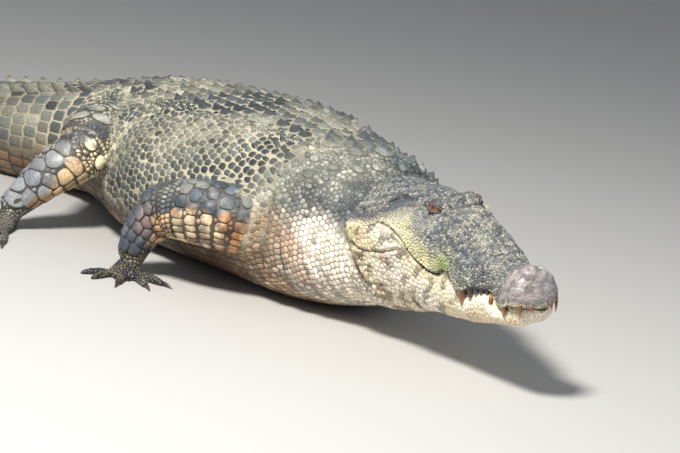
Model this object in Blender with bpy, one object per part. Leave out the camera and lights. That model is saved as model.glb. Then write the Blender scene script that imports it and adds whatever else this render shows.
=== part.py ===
"""A life-size saltwater crocodile that lies on its belly with its head a little off the ground.

The animal's frame: +X runs forward along the trunk, +Y to its left, +Z up, and the ground is z = 0. The
origin is the middle of the belly where it meets the ground. The head is turned to the animal's right, and
the tail swings to its right and back. Stations along the body are distances from the tip of the snout.
"""

import math

import bmesh
import bpy
import numpy as np
from mathutils import Matrix, Vector

# ---------------------------------------------------------------- driving dimensions, in metres
TOTAL_LENGTH = 4.90
HEAD_STATION = 0.70  # the rear edge of the skull's flat top
ORIGIN_STATION = 1.80  # the station over the origin
GAP = 0.0004  # between two pieces that meet
HEAD_SIZE = 1.03  # of the head against its tables of sections
MOUTH_HEIGHT = 0.328  # the middle of the closed mouth above the ground, at the skull's rear edge
HEAD_PITCH = math.radians(-2.1)  # snout up is positive
HEAD_ROLL = math.radians(9.5)  # the left cheek is held higher
MOUTH_GROOVE = 0.006  # the lips stand this far apart
LIP_DEPTH = 0.022  # and this far in the jaws meet

NECK_STATION = 0.70
CHEST_STATION = 1.13
BELLY_STATION = 1.62
PELVIS_STATION = 2.08
TAIL_STATIONS = (2.50, 3.05, 3.65, 4.25, TOTAL_LENGTH)
BODY_SIDES = 20

# Sections of the body: (station, value) pairs, read through a smooth monotone curve.
HEADING_DEG = ((0.0, -4), (0.80, -5), (1.30, -8), (1.80, 0), (2.30, 12), (3.00, 29), (3.80, 34), (4.90, 4))
HALF_WIDTH = (
    (0.62, 0.140), (0.70, 0.178), (0.80, 0.238), (0.95, 0.305), (1.10, 0.348), (1.25, 0.385), (1.50, 0.445),
    (1.80, 0.475), (2.05, 0.425), (2.25, 0.332), (2.45, 0.256), (2.70, 0.207), (3.05, 0.153), (3.45, 0.108),
    (3.85, 0.074), (4.25, 0.047), (4.60, 0.028), (4.90, 0.008),
)
TOP = (
    (0.62, 0.400), (0.70, 0.440), (0.79, 0.474), (0.90, 0.507), (1.02, 0.527), (1.20, 0.541), (1.45, 0.552),
    (1.70, 0.548), (1.90, 0.534), (2.10, 0.521), (2.27, 0.497), (2.45, 0.455), (2.70, 0.397), (3.05, 0.332), (3.45, 0.270),
    (3.85, 0.210), (4.25, 0.148), (4.60, 0.092), (4.90, 0.030),
)
BOTTOM = (
    (0.62, 0.120), (0.72, 0.100), (0.85, 0.052), (1.00, 0.012), (1.12, -0.006), (1.30, -0.012), (1.80, -0.020),
    (2.30, -0.014), (2.48, 0.012), (2.60, 0.010), (2.75, -0.004), (3.45, -0.006), (4.25, -0.005), (4.90, -0.002),
)
WIDEST = ((0.62, 0.52), (0.95, 0.46), (1.30, 0.42), (1.80, 0.38), (2.30, 0.44), (2.80, 0.48), (4.90, 0.45))
TOP_POWER = ((0.62, 2.3), (0.90, 2.3), (1.10, 2.15), (1.80, 2.25), (2.50, 2.2), (3.20, 1.9), (4.90, 1.7))
BOTTOM_POWER = ((0.62, 2.2), (1.10, 2.4), (1.80, 2.6), (2.50, 2.3), (4.90, 2.0))

# Sections of the head: (x from the skull's rear edge, value) pairs. The tip of the snout is at x = 0.672.
UPPER_HALF_WIDTH = (
    (-0.10, 0.140), (-0.04, 0.154), (0.03, 0.166), (0.10, 0.170), (0.17, 0.163), (0.24, 0.148), (0.30, 0.131),
    (0.36, 0.117), (0.41, 0.110), (0.44, 0.106), (0.47, 0.098), (0.495, 0.083), (0.518, 0.072), (0.55, 0.076),
    (0.59, 0.083), (0.62, 0.080), (0.644, 0.067), (0.66, 0.045), (0.668, 0.026), (0.672, 0.010),
)
CROWN = (
    (-0.10, 0.116), (0.00, 0.122), (0.10, 0.130), (0.19, 0.146), (0.26, 0.147), (0.34, 0.134), (0.42, 0.109),
    (0.50, 0.083), (0.55, 0.075), (0.592, 0.080), (0.624, 0.084), (0.646, 0.068), (0.662, 0.041), (0.672, 0.012),
)
CROWN_POWER = ((-0.10, 1.7), (0.10, 1.9), (0.22, 2.4), (0.30, 2.5), (0.45, 2.5), (0.60, 2.3), (0.672, 2.3))
JAW_BULGE = (
    (-0.22, 0.120), (-0.05, 0.110), (0.08, 0.075), (0.20, 0.036), (0.28, 0.020), (0.36, 0.052), (0.42, 0.030),
    (0.50, 0.040), (0.58, 0.020), (0.62, 0.028), (0.645, 0.014), (0.662, 0.006),
)
OVERBITE = 0.021  # the upper teeth hang outside the lower jaw's edge
LIP_LINE = (
    (-0.10, 0.088), (0.05, 0.088), (0.111, 0.085), (0.153, 0.079), (0.188, 0.061), (0.209, 0.038), (0.229, 0.022),
    (0.266, 0.002), (0.300, -0.009), (0.322, -0.008), (0.343, 0.007), (0.364, 0.002), (0.385, -0.015),
    (0.405, -0.034), (0.422, -0.034), (0.448, -0.021), (0.475, -0.014), (0.505, -0.014), (0.530, -0.020),
    (0.562, -0.037), (0.580, -0.039), (0.598, -0.028), (0.615, -0.018), (0.640, -0.017), (0.672, -0.021),
)
JAW_HALF_WIDTH = (
    (-0.22, 0.140), (-0.16, 0.182), (-0.08, 0.206), (0.00, 0.202), (0.08, 0.188), (0.16, 0.168), (0.24, 0.146),
    (0.30, 0.127), (0.36, 0.110), (0.44, 0.097), (0.50, 0.086), (0.555, 0.079), (0.592, 0.075), (0.62, 0.067),
    (0.642, 0.050), (0.655, 0.030), (0.662, 0.011),
)
JAW_DEPTH = (
    (-0.22, 0.170), (-0.15, 0.225), (-0.06, 0.240), (0.08, 0.218), (0.248, 0.172), (0.374, 0.150), (0.457, 0.130),
    (0.564, 0.101), (0.624, 0.080), (0.650, 0.058), (0.662, 0.046),
)
SNOUT_TIP, JAW_TIP = 0.672, 0.662
HEAD_REAR = -0.10
JAW_REAR = -0.22
JAW_REAR_FALL = 0.65  # slope of the jaw's top behind the skull's rear edge
TABLE_RISE = 0.032  # the skull's flat top over the cheeks
TABLE_HALF_WIDTH = 0.094
EYE_RADIUS = 0.0255
EYE_PLACE = Vector((0.226, 0.062, 0.148))  # the left eye, in the head's frame
LID_RADII = (0.050, 0.028, 0.030)  # the lids and brow round each eye
BROW_RISE = 0.032

COLOURS = {  # linear base colour, roughness
    "hide": ((0.17, 0.17, 0.14), 0.75),
    "pale_hide": ((0.52, 0.47, 0.31), 0.65),
    "eye": ((0.38, 0.13, 0.03), 0.12),
    "claw": ((0.045, 0.04, 0.035), 0.4),
}


# ---------------------------------------------------------------- curves and meshes
def along(keys, at):
    """A monotone cubic curve through (position, value) keys, read at one position or at an array of them."""
    x, y = (np.array(column, float) for column in zip(*keys))
    step, slope = np.diff(x), np.diff(y) / np.diff(x)
    tangent = np.zeros(len(x))
    tangent[0], tangent[-1] = slope[0], slope[-1]
    same_way = slope[:-1] * slope[1:] > 0
    weight_1, weight_2 = 2 * step[1:] + step[:-1], step[1:] + 2 * step[:-1]
    safe = np.where(same_way, slope[:-1], 1.0), np.where(same_way, slope[1:], 1.0)
    mean = (weight_1 + weight_2) / (weight_1 / safe[0] + weight_2 / safe[1])
    tangent[1:-1] = np.where(same_way, mean, 0.0)
    p = np.clip(np.asarray(at, float), x[0], x[-1])
    i = np.clip(np.searchsorted(x, p, side="right") - 1, 0, len(x) - 2)
    t = (p - x[i]) / step[i]
    return (
        y[i] * (1 + 2 * t) * (1 - t) ** 2
        + tangent[i] * step[i] * t * (1 - t) ** 2
        + y[i + 1] * t * t * (3 - 2 * t)
        - tangent[i + 1] * step[i] * t * t * (1 - t)
    )


def signed_power(value, power):
    return np.sign(value) * np.abs(value) ** power


def bump(distance, reach):
    """1 at no distance, falling smoothly, close to 0 at twice the reach."""
    return np.exp(-((distance / reach) ** 2))


def material(name):
    found = bpy.data.materials.get(name)
    if found:
        return found
    made = bpy.data.materials.new(name)
    made.use_nodes = True
    shader = made.node_tree.nodes["Principled BSDF"]
    colour, roughness = COLOURS[name]
    shader.inputs["Base Color"].default_value = (*colour, 1)
    shader.inputs["Roughness"].default_value = roughness
    shader.inputs["Metallic"].default_value = 0.0
    return made


def mesh_object(name, mesh_data, collection, finish=None):
    made = bpy.data.objects.new(name, mesh_data)
    collection.objects.link(made)
    if finish:
        mesh_data.materials.append(material(finish))
    return made


def loft(name, rings, collection, finish=None):
    """A closed skin over a row of rings with equal counts of points, capped flat at both ends."""
    count = len(rings[0])
    bm = bmesh.new()
    rows = [[bm.verts.new(tuple(point)) for point in ring] for ring in rings]
    for first, second in zip(rows, rows[1:]):
        for i in range(count):
            j = (i + 1) % count
            bm.faces.new((first[i], first[j], second[j]))
            bm.faces.new((first[i], second[j], second[i]))
    bm.faces.new(reversed(rows[0]))
    bm.faces.new(rows[-1])
    bmesh.ops.recalc_face_normals(bm, faces=bm.faces)
    mesh = bpy.data.meshes.new(name)
    bm.to_mesh(mesh)
    bm.free()
    mesh.shade_smooth()
    return mesh_object(name, mesh, collection, finish)


def apply_modifiers(target):
    graph = bpy.context.evaluated_depsgraph_get()
    baked = bpy.data.meshes.new_from_object(target.evaluated_get(graph))
    target.modifiers.clear()
    target.data = baked
    bm = bmesh.new()
    bm.from_mesh(baked)
    bmesh.ops.remove_doubles(bm, verts=bm.verts, dist=0.00004)
    bmesh.ops.dissolve_degenerate(bm, edges=bm.edges, dist=0.00002)
    bmesh.ops.holes_fill(bm, edges=[e for e in bm.edges if e.is_boundary], sides=5)
    bm.to_mesh(baked)
    bm.free()


def boolean(target, others, operation):
    """Joins other solids to the target, or cuts it with them, and applies the result."""
    for other in others:
        step = target.modifiers.new(operation.title(), "BOOLEAN")
        step.object = other
        step.operation = operation
        step.solver = "EXACT"
    apply_modifiers(target)


def drop(objects):
    for one in objects:
        bpy.data.objects.remove(one)


def ground_block(helpers):
    """A block whose top is the ground, for cutting soles flat."""
    bpy.ops.mesh.primitive_cube_add(size=1, location=(0, 0, -0.25))
    block = bpy.context.object
    block.name = "ground"
    block.scale = (9, 6, 0.5)
    for holder in list(block.users_collection):
        holder.objects.unlink(block)
    helpers.objects.link(block)
    bpy.context.view_layer.update()
    return block


# ---------------------------------------------------------------- the body's centre line and sections
def build_spine():
    """Stations, and the plan position and heading of the centre line there, worked out from the heading curve."""
    station = np.linspace(0.0, TOTAL_LENGTH, 981)
    heading = np.radians(along(HEADING_DEG, station))
    step = np.diff(station)
    middle = (heading[1:] + heading[:-1]) / 2
    x = np.concatenate([[0.0], np.cumsum(-np.cos(middle) * step)])
    y = np.concatenate([[0.0], np.cumsum(-np.sin(middle) * step)])
    x -= np.interp(ORIGIN_STATION, station, x)
    y -= np.interp(ORIGIN_STATION, station, y)
    return station, x, y, heading


SPINE = build_spine()


def spine_frame(station):
    """Plan position of the centre line, the unit vector forward and the one to the animal's left."""
    x, y, heading = (float(np.interp(station, SPINE[0], column)) for column in SPINE[1:])
    forward = Vector((math.cos(heading), math.sin(heading), 0))
    return Vector((x, y, 0)), forward, Vector((-forward.y, forward.x, 0))


def body_ring(station, shift=0.0, grow=0.0):
    """One section of the body. Shift moves it forward and grow makes it larger all round."""
    place, forward, left = spine_frame(station)
    half = float(along(HALF_WIDTH, station)) + grow
    top = float(along(TOP, station)) + grow
    bottom = float(along(BOTTOM, station)) - grow
    widest = bottom + (top - bottom) * float(along(WIDEST, station))
    powers = float(along(TOP_POWER, station)), float(along(BOTTOM_POWER, station))
    ring = []
    for angle in np.linspace(0, 2 * math.pi, BODY_SIDES, endpoint=False):
        upper = math.sin(angle) >= 0
        power = 2 / powers[0 if upper else 1]
        height = (top - widest) if upper else (widest - bottom)
        y = half * signed_power(math.cos(angle), power)
        z = widest + height * signed_power(math.sin(angle), power)
        ring.append(place + forward * shift + left * float(y) + Vector((0, 0, max(float(z), -grow))))
    return ring


def span_stations(start, end):
    """Stations of one piece's sections, wider apart along the tail."""
    spacing = 0.11 if start < 2.45 else 0.2
    return np.linspace(start, end, max(2, round((end - start) / spacing) + 1))


def body_rings(start, end, inset=GAP / 2):
    """Sections of one piece, each end drawn in by half a gap."""
    rings = [body_ring(s) for s in span_stations(start, end)]
    rings[0] = body_ring(start, shift=-inset)
    rings[-1] = body_ring(end, shift=inset)
    return rings


# ---------------------------------------------------------------- crests of the tail
def crest_fin(name, station, offset, height, length, helpers):
    """An upright blade, raked back, whose foot is sunk in the tail."""
    place, forward, left = spine_frame(station)
    half, top = float(along(HALF_WIDTH, station)), float(along(TOP, station))
    bottom = float(along(BOTTOM, station))
    widest = bottom + (top - bottom) * float(along(WIDEST, station))
    power = float(along(TOP_POWER, station))
    skin = widest + (top - widest) * (1 - abs(offset / half) ** power) ** (1 / power)
    root = skin - 0.016
    thick = 0.011
    outline = ((0.5, 0.0), (-0.5, 0.0), (-0.55, 1.0), (0.05, 0.66))
    rings = []
    for side in (-1, 1):
        ring = []
        for x, z in outline:
            spread = thick * (1 - 0.75 * z) * side
            up = Vector((0, 0, root + z * (height + 0.016)))
            ring.append(place + forward * (x * length) + left * (offset + spread) + up)
        rings.append(ring)
    return loft(name, rings, helpers)


def crest_plan():
    """(station, sideways offset, height, length) of every blade: two rows that close up, then one."""
    plan = []
    station = 2.53
    while station < 4.84:
        share = (station - 2.53) / (4.84 - 2.53)
        spacing = 0.074 - 0.028 * share
        half = float(along(HALF_WIDTH, station))
        if station < 3.78:
            height = 0.012 + 0.062 * ((station - 2.53) / (3.78 - 2.53)) ** 1.5
            offset = half * 0.50
            plan += [(station, side * offset, height, spacing * 0.86) for side in (-1, 1)]
        else:
            height = 0.086 - 0.062 * ((station - 3.78) / (4.84 - 3.78)) ** 1.5
            plan.append((station, 0.0, height, spacing * 0.86))
        station += spacing
    return plan


# ---------------------------------------------------------------- head
def head_matrix():
    place, forward, left = spine_frame(HEAD_STATION)
    turn = Matrix((forward, left, Vector((0, 0, 1)))).transposed().to_4x4()
    tilt = Matrix.Rotation(-HEAD_PITCH, 4, "Y") @ Matrix.Rotation(HEAD_ROLL, 4, "X")
    return Matrix.Translation(place + Vector((0, 0, MOUTH_HEIGHT))) @ turn @ tilt @ Matrix.Scale(HEAD_SIZE, 4)


HEAD = head_matrix()


def crown_features(x, y):
    """How far the flat top, brows, muzzle's ridges and nose stand over the plain vault of the head."""
    side = abs(y)
    table = TABLE_RISE / (1 + (side / TABLE_HALF_WIDTH) ** 10)
    table *= 1 / (1 + math.exp((x - 0.135) / 0.014))
    brow = BROW_RISE * bump(x - 0.205, 0.055) * bump(side - 0.054, 0.022)
    saddle = -0.004 * bump(x - 0.20, 0.05) * bump(side, 0.03)
    ridge = 0.008 * bump(x - 0.29, 0.05) * bump(side - 0.066, 0.018)
    nose = 0.008 * bump(x - 0.618, 0.022) * bump(side, 0.034)
    return table + brow + saddle + ridge + nose


def upper_ring(x, grow=0.0):
    half = float(along(UPPER_HALF_WIDTH, x)) + grow
    crown = float(along(CROWN, x)) + grow
    lip = float(along(LIP_LINE, x))
    power = 2 / float(along(CROWN_POWER, x))
    groove = MOUTH_GROOVE / 2 if x > 0.03 else GAP / 2
    ring = []
    for angle in np.linspace(0, math.pi, 15):
        y = half * signed_power(math.cos(angle), power)
        z = lip + groove + (crown - lip - groove) * abs(math.sin(angle)) ** power
        z += crown_features(x, float(y)) * math.sin(angle)
        ring.append(HEAD @ Vector((x, float(y), float(z))))
    inner = max(half - LIP_DEPTH, half * 0.4)
    for share in (-1, -0.4, 0.4, 1):
        ring.append(HEAD @ Vector((x, inner * share, lip + GAP / 2 - grow)))
    return ring


def jaw_ring(x, grow=0.0):
    """The jaw swells below the lip: its widest level lies lower at the rear, where its top falls away too."""
    half = float(along(JAW_HALF_WIDTH, x)) + grow
    depth = float(along(JAW_DEPTH, x)) + grow
    lip = float(along(LIP_LINE, x)) - JAW_REAR_FALL * max(-x, 0.0)
    groove = MOUTH_GROOVE / 2 if x > 0.03 else GAP / 2
    recess = OVERBITE * min(max((x - 0.30) / 0.06, 0.0), 1.0)
    edge = min(half, float(along(UPPER_HALF_WIDTH, x)) + grow + (0.0 if x > 0.0 else 0.004)) - recess
    edge = max(edge, half * 0.5)
    widest = lip - groove - float(along(JAW_BULGE, x))
    floor = min(-depth, widest - 0.02)
    side = []
    for share in (0, 0.3, 0.65):
        y = edge + (half - edge) * math.sin(share * math.pi / 2)
        z = lip - groove - (lip - groove - widest) * (1 - math.cos(share * math.pi / 2))
        side.append((y, z + grow * (1 - share)))
    low = []
    for angle in np.linspace(0, math.pi, 11):
        y = half * signed_power(math.cos(angle), 2 / 2.3)
        low.append((float(y), widest - (widest - floor) * abs(math.sin(angle)) ** (2 / 2.3)))
    inner = max(edge - LIP_DEPTH, edge * 0.4)
    top = lip - GAP / 2 + grow
    outline = side + low + [(-y, z) for y, z in reversed(side)]
    outline += [(inner * share, top) for share in (-1, -0.4, 0.4, 1)]
    return [HEAD @ Vector((x, y, z)) for y, z in outline]


def head_stations(rear, front):
    """Sections every few centimetres, the same ones in both jaws, closer together at the nose."""
    shared = [-0.22, -0.16, *np.linspace(-0.10, 0.56, 14), 0.585, 0.61, 0.63, 0.645, 0.655]
    return [rear, *[x for x in shared if rear + 0.001 < x < front - 0.001], front]


def tooth(name, x, side, length, radius, helpers, upper=True, room=0.0):
    """A blunt cone whose root is sunk in its jaw. Room makes the space round it for the other jaw."""
    half = float(along(UPPER_HALF_WIDTH if upper else JAW_HALF_WIDTH, x))
    way = -1 if upper else 1
    sunk = 0.012
    root = float(along(LIP_LINE, x)) - way * MOUTH_GROOVE / 2
    base = Vector((x, side * (half - radius * 0.75), root))
    axis = Vector((0.05, side * 0.1, way)).normalized()
    across = axis.orthogonal().normalized()
    third = axis.cross(across)
    reach = length + 2 * room
    rings = []
    for share, girth in ((0.0, 0.92), (0.6, 0.80), (1.0, 0.14)):
        centre = base + axis * (-sunk + share * (reach + sunk))
        ring = []
        for angle in np.linspace(0, 2 * math.pi, 5 if radius > 0.0079 else 4, endpoint=False):
            spoke = across * math.cos(angle) + third * math.sin(angle)
            ring.append(HEAD @ (centre + spoke * (radius * girth + room)))
        rings.append(ring)
    return loft(name, rings, helpers)


def row_of_teeth(sizes, helpers, upper=True, room=0.0):
    """Both sides of one jaw."""
    return [
        tooth(f"tooth_{side}_{i}", x, side, length, radius, helpers, upper, room)
        for side in (-1, 1)
        for i, (x, length, radius) in enumerate(sizes)
    ]


UPPER_TEETH = (  # x, length, radius of each tooth of one side, front to back
    (0.664, 0.012, 0.0055), (0.646, 0.034, 0.0062), (0.619, 0.013, 0.0065), (0.594, 0.030, 0.0078),
    (0.503, 0.013, 0.0065), (0.487, 0.017, 0.0072), (0.472, 0.023, 0.0080), (0.453, 0.038, 0.0102),
    (0.420, 0.045, 0.0138), (0.368, 0.014, 0.0080),
)
LOWER_TEETH = ((0.528, 0.016, 0.0085),)  # the large one that lies in the notch of the upper lip


def ball(name, centre, radii, collection, finish=None):
    """A ball, or an egg whose three radii lie along the head's own axes."""
    bm = bmesh.new()
    bmesh.ops.create_uvsphere(bm, u_segments=10, v_segments=7, radius=1)
    bmesh.ops.transform(bm, verts=bm.verts, matrix=Matrix.Diagonal((*radii, 1)))
    bmesh.ops.transform(bm, verts=bm.verts, matrix=HEAD.to_3x3().normalized().to_4x4())
    bmesh.ops.translate(bm, verts=bm.verts, vec=centre)
    mesh = bpy.data.meshes.new(name)
    bm.to_mesh(mesh)
    bm.free()
    mesh.shade_smooth()
    return mesh_object(name, mesh, collection, finish)


def make_head(parts, helpers):
    head = loft("head", [upper_ring(x) for x in head_stations(HEAD_REAR, SNOUT_TIP)], parts, "hide")
    jaw = loft("lower_jaw", [jaw_ring(x) for x in head_stations(JAW_REAR, JAW_TIP)], parts, "pale_hide")
    teeth, low_teeth = row_of_teeth(UPPER_TEETH, helpers), row_of_teeth(LOWER_TEETH, helpers, upper=False)
    sockets, lids = [], []
    for side, word in ((1, "left"), (-1, "right")):
        centre = HEAD @ Vector((EYE_PLACE.x, side * EYE_PLACE.y, EYE_PLACE.z))
        lid_centre = HEAD @ Vector((EYE_PLACE.x - 0.004, side * (EYE_PLACE.y - 0.012), EYE_PLACE.z))
        ball(f"eye_{word}", centre, (EYE_RADIUS,) * 3, parts, "eye")
        sockets.append(ball(f"socket_{word}", centre, (EYE_RADIUS + GAP,) * 3, helpers))
        lids.append(ball(f"lid_{word}", lid_centre, LID_RADII, helpers))
    boolean(head, lids, "UNION")
    boolean(head, sockets, "DIFFERENCE")
    boolean(head, teeth, "UNION")
    # Each row of teeth passes beside the other jaw with a small space.
    grown = row_of_teeth(UPPER_TEETH, helpers, room=2 * GAP)
    low_grown = row_of_teeth(LOWER_TEETH, helpers, upper=False, room=2 * GAP)
    boolean(jaw, grown, "DIFFERENCE")
    boolean(jaw, low_teeth, "UNION")
    boolean(head, low_grown, "DIFFERENCE")
    drop(teeth + low_teeth + grown + low_grown + sockets + lids)
    return head, jaw


def body_spans():
    """(name, first station, last station) of each length of the body, front to back."""
    cuts = (NECK_STATION, CHEST_STATION, BELLY_STATION, PELVIS_STATION, *TAIL_STATIONS)
    names = ("neck", "chest", "belly", "pelvis", "tail_base", "tail_middle", "tail_rear", "tail_tip")
    return list(zip(names, cuts, cuts[1:]))


def trunk_room(helpers):
    """The body's own sections a little enlarged, in one piece, for cutting what meets it."""
    stations = []
    for _, start, end in body_spans()[:6]:
        stations += [s for s in span_stations(start, end) if not stations or s > stations[-1] + 0.001]
    return loft("trunk_room", [body_ring(s, grow=GAP) for s in stations], helpers)


def make_body(parts, helpers, head_cutters):
    """Neck, trunk and tail, each a loft between two flat cuts across the centre line."""
    made = {}
    spans = body_spans()
    for name, start, end in spans:
        made[name] = loft(name, body_rings(start, end), parts, "hide")
    boolean(made["neck"], head_cutters, "DIFFERENCE")
    fins = crest_plan()
    for name, start, end in spans[4:]:
        own = [
            crest_fin(f"fin_{name}_{i}", s, offset, height, length, helpers)
            for i, (s, offset, height, length) in enumerate(fins)
            if start + length * 0.6 < s < end - length * 0.6
        ]
        boolean(made[name], own, "UNION")
        drop(own)
    return made


# ---------------------------------------------------------------- limbs
def smooth_path(points, count):
    """Places along a smooth curve through a few points, with the share of the way as a number of points."""
    points = [Vector(p) for p in points]
    padded = [points[0] * 2 - points[1], *points, points[-1] * 2 - points[-2]]
    places = []
    for share in np.linspace(0, len(points) - 1, count):
        i = min(int(share), len(points) - 2)
        t = share - i
        a, b, c, d = padded[i : i + 4]
        places.append(
            0.5 * (2 * b + (c - a) * t + (2 * a - 5 * b + 4 * c - d) * t**2 + (3 * b - a - 3 * c + d) * t**3)
        )
    return places


def limb_rings(points, widths, heights, count, sides=10, grow=0.0):
    """Sections of a limb along a path. Widths lie level across the limb, heights across that."""
    path = smooth_path(points, count)
    keys = np.arange(len(points))
    rings = []
    for k, centre in enumerate(path):
        before, after = path[max(k - 1, 0)], path[min(k + 1, count - 1)]
        tangent = (after - before).normalized()
        level = tangent.cross(Vector((0, 0, 1)))
        if level.length < 0.35:
            level = tangent.cross(Vector((0.4, 0, 1)))
        level.normalize()
        up = level.cross(tangent)
        share = k / (count - 1) * (len(points) - 1)
        width = float(along(tuple(zip(keys, widths)), share)) + grow
        height = float(along(tuple(zip(keys, heights)), share)) + grow
        ring = []
        for angle in np.linspace(0, 2 * math.pi, sides, endpoint=False):
            y = width * signed_power(math.cos(angle), 2 / 2.2)
            z = height * signed_power(math.sin(angle), 2 / 2.2)
            ring.append(centre + level * float(y) + up * float(z))
        rings.append(ring)
    return rings


def draw_in(rings, at_start, at_end, amount=GAP / 2):
    """Moves an end section inward along the limb by half a gap."""
    if at_start:
        way = (sum(rings[1], Vector()) - sum(rings[0], Vector())).normalized() * amount
        rings[0] = [p + way for p in rings[0]]
    if at_end:
        way = (sum(rings[-2], Vector()) - sum(rings[-1], Vector())).normalized() * amount
        rings[-1] = [p + way for p in rings[-1]]
    return rings


def digit(name, start, way, length, radius, helpers):
    """A tapered toe that lies on the ground, its joints a little raised. Its sole is cut flat later."""
    rings = []
    across = Vector((-way.y, way.x, 0))
    for share, girth, lift in ((0, 1.0, 0.9), (0.4, 0.90, 1.0), (0.85, 0.72, 0.75), (1, 0.36, 0.6)):
        centre = start + way * (length * share)
        ring = []
        for angle in np.linspace(0, 2 * math.pi, 6, endpoint=False):
            y = radius * girth * math.cos(angle)
            z = radius * girth * (lift * 0.9 + 1.2 * math.sin(angle))
            ring.append(Vector((centre.x, centre.y, z)) + across * y)
        rings.append(ring)
    return loft(name, rings, helpers)


def claw(name, start, way, length, radius, parts):
    """A curved horn point that leaves the toe's tip and bends down to the ground."""
    rings = []
    across = Vector((-way.y, way.x, 0))
    for share, girth in ((0, 0.85), (0.5, 0.62), (1.0, 0.12)):
        drop_by = 0.55 * share**1.8 * radius * 1.3
        centre = start + way * (length * share) + Vector((0, 0, -drop_by))
        tilt = Vector((way.x, way.y, -1.1 * share)).normalized()
        up = across.cross(tilt) * -1
        ring = []
        for angle in np.linspace(0, 2 * math.pi, 6, endpoint=False):
            point = centre + across * (radius * girth * 0.8 * math.cos(angle)) + up * (
                radius * girth * math.sin(angle)
            )
            point.z = max(point.z, 0.0005)
            ring.append(point)
        rings.append(ring)
    return loft(name, rings, parts, "claw")


def web(name, start, first, second, reach, top, helpers):
    """A thin skin between two toes. Its underside is cut flat later."""
    middle = (first + second).normalized()
    base, side_1, side_2 = start - middle * 0.02, start + first * reach, start + second * reach
    hollow = start + middle * (reach * 0.80)
    rings = []
    for height in (-top, top):
        ring = [base, side_1, hollow, side_2]
        rings.append([Vector((p.x, p.y, height)) for p in ring])
    return loft(name, rings, helpers)


def make_foot(name, wrist, heading, digits, palm, webbing, parts, helpers, grow_cutter):
    """A flat hand or foot: palm, digits and webs joined, cut where the leg meets it, and its claws.

    Digits are (angle from the heading in degrees, length, radius, has a claw).
    """
    side = -1 if name.endswith("right") else 1
    ways = []
    for angle, *_ in digits:
        turned = math.radians(heading + angle * side)
        ways.append(Vector((math.cos(turned), math.sin(turned), 0)))
    forward = Vector((math.cos(math.radians(heading)), math.sin(math.radians(heading)), 0))
    ground = Vector((wrist.x, wrist.y, 0))
    length, half, height = palm
    palm_points = [ground - forward * 0.02, ground + forward * length * 0.5, ground + forward * length]
    centres = [Vector((p.x, p.y, h * 0.40)) for p, h in zip(palm_points, (height, height * 0.80, height * 0.52))]
    rings = limb_rings(centres, (half * 0.72, half * 0.95, half), (height * 0.56, height * 0.44, height * 0.3), 4, 8)
    foot = loft(name, rings, parts, "hide")
    pieces, claws = [], []
    for i, (way, (_, reach, radius, has_claw)) in enumerate(zip(ways, digits)):
        root = ground + forward * (length * 0.62) + (way - forward * way.dot(forward)) * half * 1.3
        pieces.append(digit(f"{name}_digit_{i}", root, way, reach, radius, helpers))
        if has_claw:
            tip = root + way * (reach + GAP) + Vector((0, 0, radius * 0.42))
            claws.append(claw(f"{name}_claw_{i + 1}", tip, way, radius * 2.3, radius * 0.40, parts))
    for i in range(len(ways) - 1):
        reach = webbing * min(digits[i][1], digits[i + 1][1])
        root = ground + forward * (length * 0.62)
        top = 0.006 + 0.0006 * i
        pieces.append(web(f"{name}_web_{i}", root, ways[i], ways[i + 1], reach + half * 0.4, top, helpers))
    boolean(foot, pieces, "UNION")
    earth = ground_block(helpers)
    boolean(foot, [earth, grow_cutter], "DIFFERENCE")
    drop([*pieces, earth])
    return foot, claws


FINGERS = ((-62, 0.088, 0.0165, True), (-30, 0.112, 0.0165, True), (0, 0.120, 0.0160, True),
           (30, 0.108, 0.0140, False), (60, 0.088, 0.0125, False))
TOES = ((-24, 0.160, 0.0205, True), (-4, 0.190, 0.0205, True), (15, 0.190, 0.0190, True),
        (36, 0.165, 0.0160, False))


def make_limb(kind, side, joints, girths, foot_heading, parts, helpers, body_cutters):
    """Upper leg with a rounded joint, lower leg that leaves it, then the foot. Girths are (width, height) pairs.

    The joints are the root, the middle of the upper leg, the elbow or knee, the middle of the lower leg
    and the wrist or ankle.
    """
    word = "right" if side < 0 else "left"
    names = ("upper_arm", "forearm", "hand") if kind == "fore" else ("thigh", "shank", "foot")
    joints = [Vector(p) for p in joints]
    cap = joints[2] + (joints[2] - joints[1]).normalized() * girths[2][0] * 0.62
    above, below = [*joints[:3], cap], joints[2:]
    above_girths = [*girths[:3], tuple(0.52 * g for g in girths[2])]

    def rings_of(points, sizes, count, grow=0.0):
        widths, heights = zip(*sizes)
        return limb_rings(points, widths, heights, count, grow=grow)

    upper = loft(f"{names[0]}_{word}", rings_of(above, above_girths, 9), parts, "hide")
    lower = loft(f"{names[1]}_{word}", rings_of(below, girths[2:], 7), parts, "hide")
    boolean(upper, body_cutters, "DIFFERENCE")
    upper_room = loft("upper_room", draw_in(rings_of(above, above_girths, 9, GAP), True, True, -GAP), helpers)
    lower_room = loft("lower_room", draw_in(rings_of(below, girths[2:], 7, GAP), True, True, -GAP), helpers)
    boolean(lower, [upper_room, *body_cutters], "DIFFERENCE")
    foot = make_foot(
        f"{names[2]}_{word}", joints[-1], foot_heading, FINGERS if kind == "fore" else TOES,
        (0.085, 0.052, 0.062) if kind == "fore" else (0.150, 0.056, 0.075),
        0.35 if kind == "fore" else 0.86, parts, helpers, lower_room,
    )
    drop([upper_room, lower_room])
    return upper, lower, foot


def limb_point(station, outward, height, side):
    """A place beside the body: outward from the centre line, on one side of it."""
    place, _, left = spine_frame(station)
    return place + left * (side * outward) + Vector((0, 0, height))


FORE_GIRTHS = ((0.090, 0.095), (0.100, 0.108), (0.084, 0.090), (0.066, 0.064), (0.046, 0.040))
HIND_GIRTHS = ((0.100, 0.100), (0.118, 0.112), (0.092, 0.092), (0.074, 0.072), (0.050, 0.046))


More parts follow.
